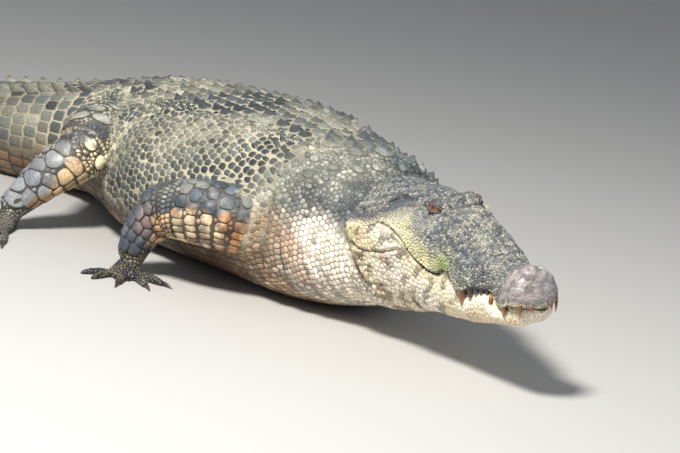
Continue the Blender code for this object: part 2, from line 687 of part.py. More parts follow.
def make_limbs(parts, helpers, cutters):
    for side, turn in ((-1, -42), (1, 50)):
        joints = [
            limb_point(1.09, 0.24, 0.22, side), limb_point(1.18, 0.40, 0.25, side),
            limb_point(1.335, 0.510, 0.235, side), limb_point(1.39, 0.560, 0.14, side),
            limb_point(1.40, 0.590, 0.048, side),
        ]
        make_limb("fore", side, joints, FORE_GIRTHS, turn, parts, helpers, cutters)
    for side, turn in ((-1, -52), (1, 40)):
        back = 0.0 if side < 0 else 0.04
        joints = [
            limb_point(2.28, 0.16, 0.29, side), limb_point(2.17 + back, 0.36, 0.32, side),
            limb_point(2.06 + back, 0.500, 0.275, side), limb_point(2.12 + back, 0.62, 0.175, side),
            limb_point(2.19 + back, 0.720, 0.058, side),
        ]
        make_limb("hind", side, joints, HIND_GIRTHS, turn, parts, helpers, cutters)


# ---------------------------------------------------------------- the whole animal
def clear_scene():
    for one in list(bpy.data.objects):
        bpy.data.objects.remove(one)


def new_collection(name):
    made = bpy.data.collections.new(name)
    bpy.context.scene.collection.children.link(made)
    return made


def main():
    clear_scene()
    parts = new_collection("saltwater_crocodile")
    helpers = new_collection("cutters")
    make_head(parts, helpers)
    head_cutters = [
        loft("head_room", [upper_ring(x, GAP) for x in head_stations(HEAD_REAR - GAP, SNOUT_TIP)], helpers),
        loft("jaw_room", [jaw_ring(x, GAP) for x in head_stations(JAW_REAR - GAP, JAW_TIP)], helpers),
    ]
    make_body(parts, helpers, head_cutters)
    make_limbs(parts, helpers, [trunk_room(helpers)])
    for helper in list(helpers.objects):
        helper.hide_render = True
        helper.display_type = "WIRE"


main()
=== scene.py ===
"""A life-size saltwater crocodile at rest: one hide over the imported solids, its scales, eyes, teeth, claws.

+X runs forward along the trunk, +Y to the animal's left, +Z up, and the ground is z = 0. Stations are
distances from the tip of the snout along the middle of the body, in metres.
"""

import math

import bmesh
import bpy
import numpy as np
from mathutils import Matrix, Vector
from mathutils.bvhtree import BVHTree
from mathutils.kdtree import KDTree


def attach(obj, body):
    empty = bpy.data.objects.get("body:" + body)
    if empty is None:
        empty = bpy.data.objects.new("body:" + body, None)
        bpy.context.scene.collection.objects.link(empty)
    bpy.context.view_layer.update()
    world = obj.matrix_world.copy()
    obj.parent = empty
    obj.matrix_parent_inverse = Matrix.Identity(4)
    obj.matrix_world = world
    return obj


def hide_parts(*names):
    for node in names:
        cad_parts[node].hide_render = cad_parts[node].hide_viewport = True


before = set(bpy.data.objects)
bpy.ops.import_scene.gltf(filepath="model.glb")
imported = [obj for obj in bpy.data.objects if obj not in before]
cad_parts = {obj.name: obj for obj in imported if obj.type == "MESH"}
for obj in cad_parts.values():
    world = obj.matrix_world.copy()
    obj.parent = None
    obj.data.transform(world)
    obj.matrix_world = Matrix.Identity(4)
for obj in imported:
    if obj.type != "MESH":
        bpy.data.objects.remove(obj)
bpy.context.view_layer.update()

# -------- the animal's measures, as its solids have them
TOTAL_LENGTH = 4.90
HEAD_STATION = 0.70
ORIGIN_STATION = 1.80
HEAD_SIZE = 1.03
MOUTH_HEIGHT = 0.328
HEAD_PITCH = math.radians(-2.1)
HEAD_ROLL = math.radians(9.5)
FLOOR_CLEAR = 0.0032  # the hide's underside over the ground, under the belly scales
BACK_DEPTH = 0.011  # the hide lies this far inside the solids on the back
SIDE_DEPTH = 0.005  # and this far on the flanks
HEAD_DEPTH = 0.0016
LIMB_DEPTH = 0.0040

HEADING_DEG = ((0.0, -4), (0.80, -5), (1.30, -8), (1.80, 0), (2.30, 12), (3.00, 29), (3.80, 34), (4.90, 4))
HALF_WIDTH = (
    (0.62, 0.140), (0.70, 0.178), (0.80, 0.238), (0.95, 0.305), (1.10, 0.348), (1.25, 0.385),
    (1.50, 0.445), (1.80, 0.475), (2.05, 0.425), (2.25, 0.332), (2.45, 0.256), (2.70, 0.207),
    (3.05, 0.153), (3.45, 0.108), (3.85, 0.074), (4.25, 0.047), (4.60, 0.028), (4.90, 0.008),
)
TOP = (
    (0.62, 0.400), (0.70, 0.440), (0.79, 0.474), (0.90, 0.507), (1.02, 0.527), (1.20, 0.541),
    (1.45, 0.552), (1.70, 0.548), (1.90, 0.534), (2.10, 0.521), (2.27, 0.497), (2.45, 0.455),
    (2.70, 0.397), (3.05, 0.332), (3.45, 0.270), (3.85, 0.210), (4.25, 0.148), (4.60, 0.092),
    (4.90, 0.030),
)
BOTTOM = (
    (0.62, 0.120), (0.72, 0.100), (0.85, 0.052), (1.00, 0.012), (1.12, -0.006), (1.30, -0.012),
    (1.80, -0.020), (2.30, -0.014), (2.48, 0.012), (2.60, 0.010), (2.75, -0.004), (3.45, -0.006),
    (4.25, -0.005), (4.90, -0.002),
)
WIDEST = ((0.62, 0.52), (0.95, 0.46), (1.30, 0.42), (1.80, 0.38), (2.30, 0.44), (2.80, 0.48), (4.90, 0.45))
TOP_POWER = ((0.62, 2.3), (0.90, 2.3), (1.10, 2.15), (1.80, 2.25), (2.50, 2.2), (3.20, 1.9), (4.90, 1.7))
BOTTOM_POWER = ((0.62, 2.2), (1.10, 2.4), (1.80, 2.6), (2.50, 2.3), (4.90, 2.0))

UPPER_HALF_WIDTH = (
    (-0.10, 0.140), (-0.04, 0.154), (0.03, 0.166), (0.10, 0.170), (0.17, 0.163), (0.24, 0.148),
    (0.30, 0.131), (0.36, 0.117), (0.41, 0.110), (0.44, 0.106), (0.47, 0.098), (0.495, 0.083),
    (0.518, 0.072), (0.55, 0.076), (0.59, 0.083), (0.62, 0.080), (0.644, 0.067), (0.66, 0.045),
    (0.668, 0.026), (0.672, 0.010),
)
CROWN = (
    (-0.10, 0.116), (0.00, 0.122), (0.10, 0.130), (0.19, 0.146), (0.26, 0.147), (0.34, 0.134),
    (0.42, 0.109), (0.50, 0.083), (0.55, 0.075), (0.592, 0.080), (0.624, 0.084), (0.646, 0.068),
    (0.662, 0.041), (0.672, 0.012),
)
CROWN_POWER = ((-0.10, 1.7), (0.10, 1.9), (0.22, 2.4), (0.30, 2.5), (0.45, 2.5), (0.60, 2.3), (0.672, 2.3))
LIP_LINE = (
    (-0.10, 0.088), (0.05, 0.088), (0.111, 0.085), (0.153, 0.079), (0.188, 0.061), (0.209, 0.038),
    (0.229, 0.022), (0.266, 0.002), (0.300, -0.009), (0.322, -0.008), (0.343, 0.007), (0.364, 0.002),
    (0.385, -0.015), (0.405, -0.034), (0.422, -0.034), (0.448, -0.021), (0.475, -0.014), (0.505, -0.014),
    (0.530, -0.020), (0.562, -0.037), (0.580, -0.039), (0.598, -0.028), (0.615, -0.018), (0.640, -0.017),
    (0.672, -0.021),
)
JAW_HALF_WIDTH = (
    (-0.22, 0.140), (-0.16, 0.182), (-0.08, 0.206), (0.00, 0.202), (0.08, 0.188), (0.16, 0.168),
    (0.24, 0.146), (0.30, 0.127), (0.36, 0.110), (0.44, 0.097), (0.50, 0.086), (0.555, 0.079),
    (0.592, 0.075), (0.62, 0.067), (0.642, 0.050), (0.655, 0.030), (0.662, 0.011),
)
JAW_DEPTH = (
    (-0.22, 0.170), (-0.15, 0.225), (-0.06, 0.240), (0.08, 0.218), (0.248, 0.172), (0.374, 0.150),
    (0.457, 0.130), (0.564, 0.101), (0.624, 0.080), (0.650, 0.058), (0.662, 0.046),
)
JAW_BULGE = (
    (-0.22, 0.120), (-0.05, 0.110), (0.08, 0.075), (0.20, 0.036), (0.28, 0.020), (0.36, 0.052),
    (0.42, 0.030), (0.50, 0.040), (0.58, 0.020), (0.62, 0.028), (0.645, 0.014), (0.662, 0.006),
)
OVERBITE = 0.021
SNOUT_TIP, JAW_TIP, HEAD_REAR, JAW_REAR = 0.672, 0.662, -0.10, -0.22
JAW_REAR_FALL = 0.65
TABLE_RISE, TABLE_HALF_WIDTH = 0.032, 0.094
EYE_RADIUS = 0.0255
EYE_PLACE = np.array([0.226, 0.062, 0.148])
LID_RADII = (0.050, 0.028, 0.030)
BROW_RISE = 0.032
UP = np.array([0.0, 0.0, 1.0])


# -------- curves and arrays
def along(keys, at):
    """A monotone cubic curve through (position, value) keys."""
    x, y = (np.array(column, float) for column in zip(*keys))
    step, slope = np.diff(x), np.diff(y) / np.diff(x)
    tangent = np.zeros(len(x))
    tangent[0], tangent[-1] = slope[0], slope[-1]
    same_way = slope[:-1] * slope[1:] > 0
    weight_1, weight_2 = 2 * step[1:] + step[:-1], step[1:] + 2 * step[:-1]
    safe = np.where(same_way, slope[:-1], 1.0), np.where(same_way, slope[1:], 1.0)
    mean = (weight_1 + weight_2) / (weight_1 / safe[0] + weight_2 / safe[1])
    tangent[1:-1] = np.where(same_way, mean, 0.0)
    p = np.clip(np.asarray(at, float), x[0], x[-1])
    i = np.clip(np.searchsorted(x, p, side="right") - 1, 0, len(x) - 2)
    t = (p - x[i]) / step[i]
    return (
        y[i] * (1 + 2 * t) * (1 - t) ** 2
        + tangent[i] * step[i] * t * (1 - t) ** 2
        + y[i + 1] * t * t * (3 - 2 * t)
        - tangent[i + 1] * step[i] * t * t * (1 - t)
    )


def signed_power(value, power):
    return np.sign(value) * np.abs(value) ** power


def bump(distance, reach):
    return np.exp(-((distance / reach) ** 2))


def ramp(value, start, end):
    """0 before start, 1 past end, smooth between them."""
    t = np.clip((value - start) / (end - start), 0, 1)
    return t * t * (3 - 2 * t)


def unit(vectors):
    return vectors / np.maximum(np.linalg.norm(vectors, axis=-1, keepdims=True), 1e-12)


def dot(a, b):
    return (a * b).sum(-1)


def field(points, size, seed):
    """A smooth random field over space, about -1 to 1, whose spots are about one size across."""
    rng = np.random.default_rng(seed)
    waves = unit(rng.normal(size=(14, 3))) * (2 * math.pi / (size * rng.uniform(1.4, 3.2, (14, 1))))
    phase = rng.uniform(0, 2 * math.pi, 14)
    return np.clip(np.sin(points @ waves.T + phase).sum(-1) / 3.6, -1, 1)


# -------- the body's line and sections
def build_spine():
    station = np.linspace(0.0, TOTAL_LENGTH, 981)
    heading = np.radians(along(HEADING_DEG, station))
    step = np.diff(station)
    middle = (heading[1:] + heading[:-1]) / 2
    x = np.concatenate([[0.0], np.cumsum(-np.cos(middle) * step)])
    y = np.concatenate([[0.0], np.cumsum(-np.sin(middle) * step)])
    x -= np.interp(ORIGIN_STATION, station, x)
    y -= np.interp(ORIGIN_STATION, station, y)
    return station, x, y, heading


SPINE = build_spine()


def spine_at(station):
    """Places of the centre line in plan, unit vectors forward and to the left."""
    station = np.asarray(station, float)
    x, y, heading = (np.interp(station, SPINE[0], column) for column in SPINE[1:])
    zero = np.zeros_like(x)
    forward = np.stack([np.cos(heading), np.sin(heading), zero], -1)
    left = np.stack([-np.sin(heading), np.cos(heading), zero], -1)
    return np.stack([x, y, zero], -1), forward, left


def section(station):
    """Half width, top, bottom and height of the widest level."""
    half = along(HALF_WIDTH, station)
    top, bottom = along(TOP, station), along(BOTTOM, station)
    return half, top, bottom, bottom + (top - bottom) * along(WIDEST, station)


def body_point(station, angle, depth=0.0, back_depth=0.0):
    """Places on the body. The angle is 0 at its left side and a quarter turn on the back."""
    station, angle = np.broadcast_arrays(np.asarray(station, float), np.asarray(angle, float))
    place, _, left = spine_at(station)
    half, top, bottom, widest = section(station)
    slim = np.minimum(depth, half * 0.12)
    half, top = half - slim, top - slim - np.minimum(back_depth, (top - widest) * 0.1)
    upper = np.sin(angle) >= 0
    power = 2 / np.where(upper, along(TOP_POWER, station), along(BOTTOM_POWER, station))
    height = np.where(upper, top - widest, widest - bottom)
    y = half * signed_power(np.cos(angle), power)
    z = np.maximum(widest + height * signed_power(np.sin(angle), power), FLOOR_CLEAR)
    return place + left * y[..., None] + UP * z[..., None]


def station_of(points, rounds=8):
    """The station whose section holds each point."""
    station = np.interp(-points[:, 0], -SPINE[1], SPINE[0])
    for _ in range(rounds):
        place, forward, _ = spine_at(station)
        station = np.clip(station - dot(points - place, forward), 0, TOTAL_LENGTH)
    return station


def angle_of(points, station):
    place, _, left = spine_at(station)
    half, top, bottom, widest = section(station)
    y = dot(points - place, left) / np.maximum(half, 1e-4)
    rise = points[:, 2] - widest
    upper = rise >= 0
    z = rise / np.maximum(np.where(upper, top - widest, widest - bottom), 1e-4)
    power = np.where(upper, along(TOP_POWER, station), along(BOTTOM_POWER, station)) / 2
    return np.arctan2(signed_power(z, power), signed_power(y, power))


def girth_table():
    """Distances over the skin from the back's middle line, for the left half of every section."""
    stations = np.linspace(0.62, TOTAL_LENGTH, 260)
    angles = np.linspace(math.pi / 2, -math.pi / 2, 181)
    points = body_point(stations[:, None], angles[None, :])
    steps = np.linalg.norm(np.diff(points, axis=1), axis=2)
    return stations, angles, np.concatenate([np.zeros((260, 1)), np.cumsum(steps, axis=1)], axis=1)


GIRTHS = girth_table()


def half_girth(station):
    return np.interp(station, GIRTHS[0], GIRTHS[2][:, -1])


def over_back(station, reach):
    """The angle that lies this far over the skin from the middle of the back, left positive."""
    station, reach = np.broadcast_arrays(np.asarray(station, float), np.asarray(reach, float))
    share = np.interp(station, GIRTHS[0], np.arange(len(GIRTHS[0]))).ravel()
    angle = np.empty(share.shape)
    for i, (at, distance) in enumerate(zip(share, np.abs(reach).ravel())):
        low = min(int(at), len(GIRTHS[0]) - 2)
        row = GIRTHS[2][low] * (low + 1 - at) + GIRTHS[2][low + 1] * (at - low)
        angle[i] = np.interp(distance, row, GIRTHS[1])
    angle = angle.reshape(station.shape)
    return np.where(reach >= 0, angle, math.pi - angle)


def reach_of(station, angle):
    """How far over the skin each point lies from the back's middle line."""
    rows = np.interp(station, GIRTHS[0], np.arange(len(GIRTHS[0])))
    left_half = np.where(np.cos(angle) >= 0, angle, math.pi - angle)
    left_half = np.where(left_half > math.pi, left_half - 2 * math.pi, left_half)
    columns = (math.pi / 2 - left_half) / math.pi * 180
    low_row = np.clip(rows.astype(int), 0, len(GIRTHS[0]) - 2)
    low_column = np.clip(columns.astype(int), 0, 179)
    a, b = rows - low_row, np.clip(columns - low_column, 0, 1)
    table = GIRTHS[2]
    return (
        table[low_row, low_column] * (1 - a) * (1 - b)
        + table[low_row + 1, low_column] * a * (1 - b)
        + table[low_row, low_column + 1] * (1 - a) * b
        + table[low_row + 1, low_column + 1] * a * b
    )


# -------- head frame and sections
def head_matrix():
    place, forward, left = spine_at(HEAD_STATION)
    turn = Matrix((Vector(forward), Vector(left), Vector((0, 0, 1)))).transposed().to_4x4()
    tilt = Matrix.Rotation(-HEAD_PITCH, 4, "Y") @ Matrix.Rotation(HEAD_ROLL, 4, "X")
    lift = Matrix.Translation(Vector(place) + Vector((0, 0, MOUTH_HEIGHT)))
    return np.array(lift @ turn @ tilt @ Matrix.Scale(HEAD_SIZE, 4))


HEAD = head_matrix()
HEAD_BACK = np.linalg.inv(HEAD)


def from_head(points):
    return np.asarray(points, float) @ HEAD[:3, :3].T + HEAD[:3, 3]


def to_head(points):
    return np.asarray(points, float) @ HEAD_BACK[:3, :3].T + HEAD_BACK[:3, 3]


def crown_features(x, y):
    """How far the flat top, brows, muzzle's ridges and nose stand over the plain vault of the head."""
    side = np.abs(y)
    table = TABLE_RISE / (1 + (side / TABLE_HALF_WIDTH) ** 10) / (1 + math.exp((x - 0.135) / 0.014))
    brow = BROW_RISE * bump(x - 0.205, 0.055) * bump(side - 0.054, 0.022)
    saddle = -0.004 * bump(x - 0.20, 0.05) * bump(side, 0.03)
    ridge = 0.008 * bump(x - 0.29, 0.05) * bump(side - 0.066, 0.018)
    nose = 0.008 * bump(x - 0.618, 0.022) * bump(side, 0.034)
    return table + brow + saddle + ridge + nose


def upper_ring(x):
    """One section of the upper head; its underside runs into the lower jaw away from the lips."""
    half = float(along(UPPER_HALF_WIDTH, x)) - HEAD_DEPTH
    crown = float(along(CROWN, x)) - HEAD_DEPTH
    lip = float(along(LIP_LINE, x)) + 0.0015
    power = 2 / float(along(CROWN_POWER, x))
    angle = np.linspace(0, math.pi, 49)
    y = half * signed_power(np.cos(angle), power)
    z = lip + (crown - lip) * np.abs(np.sin(angle)) ** power + crown_features(x, y) * np.sin(angle)
    inner = max(half - 0.026, half * 0.35)
    under = [(-inner, lip), (-inner * 0.9, lip - 0.016), (inner * 0.9, lip - 0.016), (inner, lip)]
    outline = np.concatenate([np.stack([y, z], 1), under])
    return from_head(np.column_stack([np.full(len(outline), x), outline]))


def jaw_ring(x):
    """The jaw swells below the lip, and its top falls away behind the skull."""
    half = float(along(JAW_HALF_WIDTH, x)) - HEAD_DEPTH
    depth = float(along(JAW_DEPTH, x)) - HEAD_DEPTH
    lip = float(along(LIP_LINE, x)) - JAW_REAR_FALL * max(-x, 0.0) - 0.0015
    recess = OVERBITE * min(max((x - 0.30) / 0.06, 0.0), 1.0)
    edge = min(half, float(along(UPPER_HALF_WIDTH, x)) - HEAD_DEPTH + (0.0 if x > 0.0 else 0.004)) - recess
    edge = max(edge, half * 0.5)
    widest = lip - 0.0015 - float(along(JAW_BULGE, x))
    floor = min(-depth, widest - 0.02)
    share = np.array([0, 0.16, 0.33, 0.5, 0.66, 0.83]) * math.pi / 2
    side = np.stack([edge + (half - edge) * np.sin(share), lip - (lip - widest) * (1 - np.cos(share))], 1)
    angle = np.linspace(0, math.pi, 45)
    low = np.stack([
        half * signed_power(np.cos(angle), 2 / 2.3),
        widest - (widest - floor) * np.abs(np.sin(angle)) ** (2 / 2.3),
    ], 1)
    inner = max(edge - 0.026, edge * 0.35)
    top = [(-inner, lip), (-inner * 0.9, lip + 0.016), (inner * 0.9, lip + 0.016), (inner, lip)]
    outline = np.concatenate([side, low, side[::-1] * (-1, 1), top])
    return from_head(np.column_stack([np.full(len(outline), x), outline]))


# -------- limbs
def smooth_path(points, count):
    points = np.asarray(points, float)
    padded = np.concatenate([[2 * points[0] - points[1]], points, [2 * points[-1] - points[-2]]])
    share = np.linspace(0, len(points) - 1, count)
    i = np.minimum(share.astype(int), len(points) - 2)
    t = (share - i)[:, None]
    a, b, c, d = (padded[i + k] for k in range(4))
    return 0.5 * (2 * b + (c - a) * t + (2 * a - 5 * b + 4 * c - d) * t**2 + (3 * b - a - 3 * c + d) * t**3)


def limb_axes(path):
    """Level and upward unit vectors across a limb's path."""
    tangent = unit(np.concatenate([path[1:2] - path[:1], path[2:] - path[:-2], path[-1:] - path[-2:-1]]))
    level = np.cross(tangent, UP)
    steep = np.linalg.norm(level, axis=1) < 0.35
    level[steep] = np.cross(tangent[steep], np.array([0.4, 0, 1.0]))
    level = unit(level)
    return tangent, level, np.cross(level, tangent)


def limb_rings(points, girths, count, sides=30, depth=0.0):
    path = smooth_path(points, count)
    _, level, up = limb_axes(path)
    share = np.linspace(0, len(points) - 1, count)
    keys = range(len(points))
    width = along(list(zip(keys, [g[0] for g in girths])), share) - depth
    height = along(list(zip(keys, [g[1] for g in girths])), share) - depth
    angle = np.linspace(0, 2 * math.pi, sides, endpoint=False)
    y = width[:, None] * signed_power(np.cos(angle), 2 / 2.2)
    z = height[:, None] * signed_power(np.sin(angle), 2 / 2.2)
    return path[:, None] + level[:, None] * y[..., None] + up[:, None] * z[..., None]


def limb_point(station, outward, height, side):
    place, _, left = spine_at(station)
    return place + left * (side * outward) + UP * height


FORE_GIRTHS = ((0.090, 0.095), (0.100, 0.108), (0.084, 0.090), (0.066, 0.064), (0.046, 0.040))
HIND_GIRTHS = ((0.100, 0.100), (0.118, 0.112), (0.092, 0.092), (0.074, 0.072), (0.050, 0.046))
# Digits: degrees from the foot's own direction, length, radius, whether it has a claw.
FINGERS = (
    (-62, 0.088, 0.0165, True), (-30, 0.112, 0.0165, True), (0, 0.120, 0.0160, True),
    (30, 0.108, 0.0140, False), (60, 0.088, 0.0125, False),
)
TOES = (
    (-24, 0.160, 0.0205, True), (-4, 0.190, 0.0205, True),
    (15, 0.190, 0.0190, True), (36, 0.165, 0.0160, False),
)
# Joints: station, distance out from the body's line, height.
FORE_JOINTS = (
    (1.09, 0.24, 0.22), (1.18, 0.40, 0.25), (1.335, 0.510, 0.235), (1.39, 0.560, 0.14), (1.40, 0.590, 0.048),
)
HIND_JOINTS = (
    (2.28, 0.16, 0.29), (2.17, 0.36, 0.32), (2.06, 0.500, 0.275), (2.12, 0.62, 0.175), (2.19, 0.720, 0.058),
)


def limb_plan(word, side, turn, joints, **form):
    joints = [limb_point(*joint, side) for joint in joints]
    return dict(word=word, side=side, turn=turn, joints=joints, **form)


LIMBS = {}
for word, side, fore_turn, hind_turn, back in (("right", -1, -42, -52, 0.0), ("left", 1, 50, 40, 0.04)):
    LIMBS["fore_" + word] = limb_plan(
        word, side, fore_turn, FORE_JOINTS,
        girths=FORE_GIRTHS, digits=FINGERS, palm=(0.085, 0.052, 0.062), webbing=0.35)
    knee_back = [HIND_JOINTS[0], *((s + back, out, height) for s, out, height in HIND_JOINTS[1:])]
    LIMBS["hind_" + word] = limb_plan(
        word, side, hind_turn, knee_back,
        girths=HIND_GIRTHS, digits=TOES, palm=(0.150, 0.056, 0.075), webbing=0.86)
LIMB_NAMES = list(LIMBS)


# -------- flesh: one closed form, remeshed
VOXEL = 0.0046


def tube(rings):
    """A closed form through rings of equal counts, with a point in the middle of each end."""
    rings = np.asarray(rings, float)
    rows, count = rings.shape[:2]
    points = np.concatenate([rings.reshape(-1, 3), rings[:1].mean(1), rings[-1:].mean(1)])
    i = np.arange(count)
    j = (i + 1) % count
    base = np.arange(rows - 1)[:, None] * count
    quads = np.stack([base + i, base + j, base + count + j, base + count + i], -1).reshape(-1, 4)
    first, last = rows * count, rows * count + 1
    end = (rows - 1) * count
    faces = [*quads.tolist(), *[(first, b, a) for a, b in zip(i.tolist(), j.tolist())]]
    faces += [(last, end + a, end + b) for a, b in zip(i.tolist(), j.tolist())]
    return points, faces


def closed_tube(rings):
    """The same form in triangles only."""
    points, faces = tube(rings)
    fans = [(face[0], face[k], face[k + 1]) for face in faces for k in range(1, len(face) - 1)]
    return points, np.array(fans)


def ball_rings(centre, radii, turn=None, rows=14, sides=24):
    """Rings of an egg whose radii lie along the head's axes."""
    polar = np.linspace(0.12, math.pi - 0.12, rows)
    angle = np.linspace(0, 2 * math.pi, sides, endpoint=False)
    local = np.stack([
        np.sin(polar)[:, None] * np.cos(angle), np.sin(polar)[:, None] * np.sin(angle),
        np.repeat(np.cos(polar)[:, None], sides, 1),
    ], -1) * radii
    return local @ (np.eye(3) if turn is None else turn).T + centre


def digit_rings(start, way, length, radius):
    """A toe that lies on the ground, thicker at its knuckles."""
    across = np.array([-way[1], way[0], 0])
    share = np.linspace(0, 1, 22)
    girth = along(((0, 1.0), (0.40, 0.90), (0.85, 0.72), (1, 0.36)), share)
    knuckles = bump(share - 0.30, 0.09) + bump(share - 0.62, 0.08) + bump(share - 0.86, 0.06)
    girth *= 1 + 0.09 * knuckles - 0.03
    lift = along(((0, 0.9), (0.4, 1.0), (0.85, 0.75), (1, 0.6)), share)
    angle = np.linspace(0, 2 * math.pi, 14, endpoint=False)
    centre = start + way * (length * share)[:, None]
    y = radius * girth[:, None] * np.cos(angle)
    z = radius * girth[:, None] * (lift[:, None] * 0.9 + 1.1 * np.sin(angle))
    rings = centre[:, None] + across * y[..., None]
    rings[..., 2] = z
    return rings


def web_rings(start, first, second, reach, top):
    """The web between two toes, as a flat ring below and one above."""
    middle = unit(first + second)
    ring = np.array([
        start - middle * 0.02, start + first * reach, start + middle * reach * 0.84, start + second * reach,
    ])
    low, high = ring.copy(), ring.copy()
    low[:, 2], high[:, 2] = -0.006, top
    return np.stack([low, high])


def foot_plan(limb):
    """Where the sole, each digit's root and its direction lie."""
    turn = math.radians(limb["turn"])
    forward = np.array([math.cos(turn), math.sin(turn), 0])
    ground = limb["joints"][-1] * (1, 1, 0)
    length, half, _ = limb["palm"]
    plan = []
    for angle, reach, radius, has_claw in limb["digits"]:
        turned = math.radians(limb["turn"] + angle * limb["side"])
        way = np.array([math.cos(turned), math.sin(turned), 0])
        root = ground + forward * (length * 0.62) + (way - forward * dot(way, forward)) * half * 1.3
        plan.append((root, way, reach, radius, has_claw))
    return forward, ground, plan


def limb_forms(limb):
    """Upper leg, lower leg, palm, digits and webs, before they grow together."""
    joints, girths = np.array(limb["joints"]), limb["girths"]
    way = unit(joints[2] - joints[1])
    above = np.concatenate([joints[:3], [joints[2] + way * girths[2][0] * 0.62]])
    above_girths = [*girths[:3], tuple(0.52 * g for g in girths[2])]
    forms = [limb_rings(above, above_girths, 40, depth=LIMB_DEPTH)]
    forms.append(limb_rings(joints[2:], girths[2:], 34, depth=LIMB_DEPTH))
    forward, ground, plan = foot_plan(limb)
    length, half, height = limb["palm"]
    centres = [ground + forward * d + UP * h for d, h in (
        (-0.02, height * 0.40), (length * 0.5, height * 0.32), (length, height * 0.21))]
    sizes = ((half * 0.72, height * 0.56), (half * 0.95, height * 0.44), (half, height * 0.30))
    forms.append(limb_rings(centres, sizes, 16, depth=0.002))
    root = ground + forward * (length * 0.62)
    for i, (start, toe_way, reach, radius, _) in enumerate(plan):
        forms.append(digit_rings(start, toe_way, reach, radius - 0.001))
        if i:
            short = limb["webbing"] * min(reach, plan[i - 1][2]) + half * 0.4
            forms.append(web_rings(root, plan[i - 1][1], toe_way, short, 0.0085))
    return forms


def flesh_forms():
    stations = np.linspace(0.62, TOTAL_LENGTH - 0.004, 330)
    angles = np.linspace(0, 2 * math.pi, 120, endpoint=False)
    forms = [body_point(stations[:, None], angles[None, :], SIDE_DEPTH, BACK_DEPTH - SIDE_DEPTH)]
    forms.append([upper_ring(x) for x in np.linspace(HEAD_REAR, SNOUT_TIP - HEAD_DEPTH, 130)])
    forms.append([jaw_ring(x) for x in np.linspace(JAW_REAR, JAW_TIP - HEAD_DEPTH, 130)])
    turn = HEAD[:3, :3] / HEAD_SIZE
    for side in (-1, 1):
        centre = from_head(EYE_PLACE * (1, side, 1) + np.array([-0.004, -side * 0.012, 0]))
        forms.append(ball_rings(centre, np.array(LID_RADII) - 0.001, turn))
    for limb in LIMBS.values():
        forms += limb_forms(limb)
    return [tube(rings) for rings in forms]


def new_object(name, mesh):
    made = bpy.data.objects.new(name, mesh)
    bpy.context.scene.collection.objects.link(made)
    return made


def baked(target):
    """The target's evaluated mesh, as a mesh of its own."""
    graph = bpy.context.evaluated_depsgraph_get()
    return bpy.data.meshes.new_from_object(target.evaluated_get(graph))


def take_modifiers(target):
    mesh = baked(target)
    target.modifiers.clear()
    old, target.data = target.data, mesh
    bpy.data.meshes.remove(old)
    return target


def read_points(mesh):
    points = np.empty(len(mesh.vertices) * 3, np.float32)
    mesh.vertices.foreach_get("co", points)
    return points.reshape(-1, 3).astype(float)


def write_points(mesh, points):
    mesh.vertices.foreach_set("co", np.asarray(points, np.float32).ravel())
    mesh.update()


def read_edges(mesh):
    edges = np.empty(len(mesh.edges) * 2, np.int32)
    mesh.edges.foreach_get("vertices", edges)
    return edges.reshape(-1, 2)


def read_normals(mesh):
    normals = np.empty(len(mesh.vertices) * 3, np.float32)
    mesh.vertex_normals.foreach_get("vector", normals)
    return normals.reshape(-1, 3).astype(float)


def relaxed(points, edges, weight, rounds):
    """Each round moves a point towards the mean of its neighbours, by its weight."""
    count = len(points)
    first, second = edges.T
    degree = np.maximum(np.bincount(edges.ravel(), minlength=count), 1)[:, None]
    for _ in range(rounds):
        total = np.stack([
            np.bincount(first, points[second, k], count) + np.bincount(second, points[first, k], count)
            for k in range(3)
        ], 1)
        points = points + (total / degree - points) * weight[:, None]
    return points


def grow_flesh():
    points, faces, shift = [], [], 0
    for own_points, own_faces in flesh_forms():
        points.append(own_points)
        faces += [[i + shift for i in face] for face in own_faces]
        shift += len(own_points)
    mesh = bpy.data.meshes.new("hide")
    mesh.from_pydata(np.concatenate(points).tolist(), [], faces)
    hide = new_object("hide", mesh)
    step = hide.modifiers.new("Remesh", "REMESH")
    step.mode = "VOXEL"
    step.voxel_size = VOXEL
    return take_modifiers(hide)


# -------- where a point of the hide lies
PATH_STEPS = 80
LIMB_PATHS = {name: smooth_path(limb["joints"], PATH_STEPS + 1) for name, limb in LIMBS.items()}
# The line on the head between the cheek's markings and the jaw's, in the head's frame.
CHEEK_LINE = ((-0.30, -0.065), (-0.10, 0.010), (-0.05, 0.032), (0.03, 0.058), *LIP_LINE[2:])


def nearest_on_path(points, path):
    """Index of the path's nearest sample and the distance to it."""
    best, where = np.full(len(points), 1e9), np.zeros(len(points), int)
    for i, place in enumerate(path):
        distance = ((points - place) ** 2).sum(1)
        closer = distance < best
        best[closer], where[closer] = distance[closer], i
    return where, np.sqrt(best)


def on_body(told):
    return (told["limb"] < 0) & ~told["is_head"]


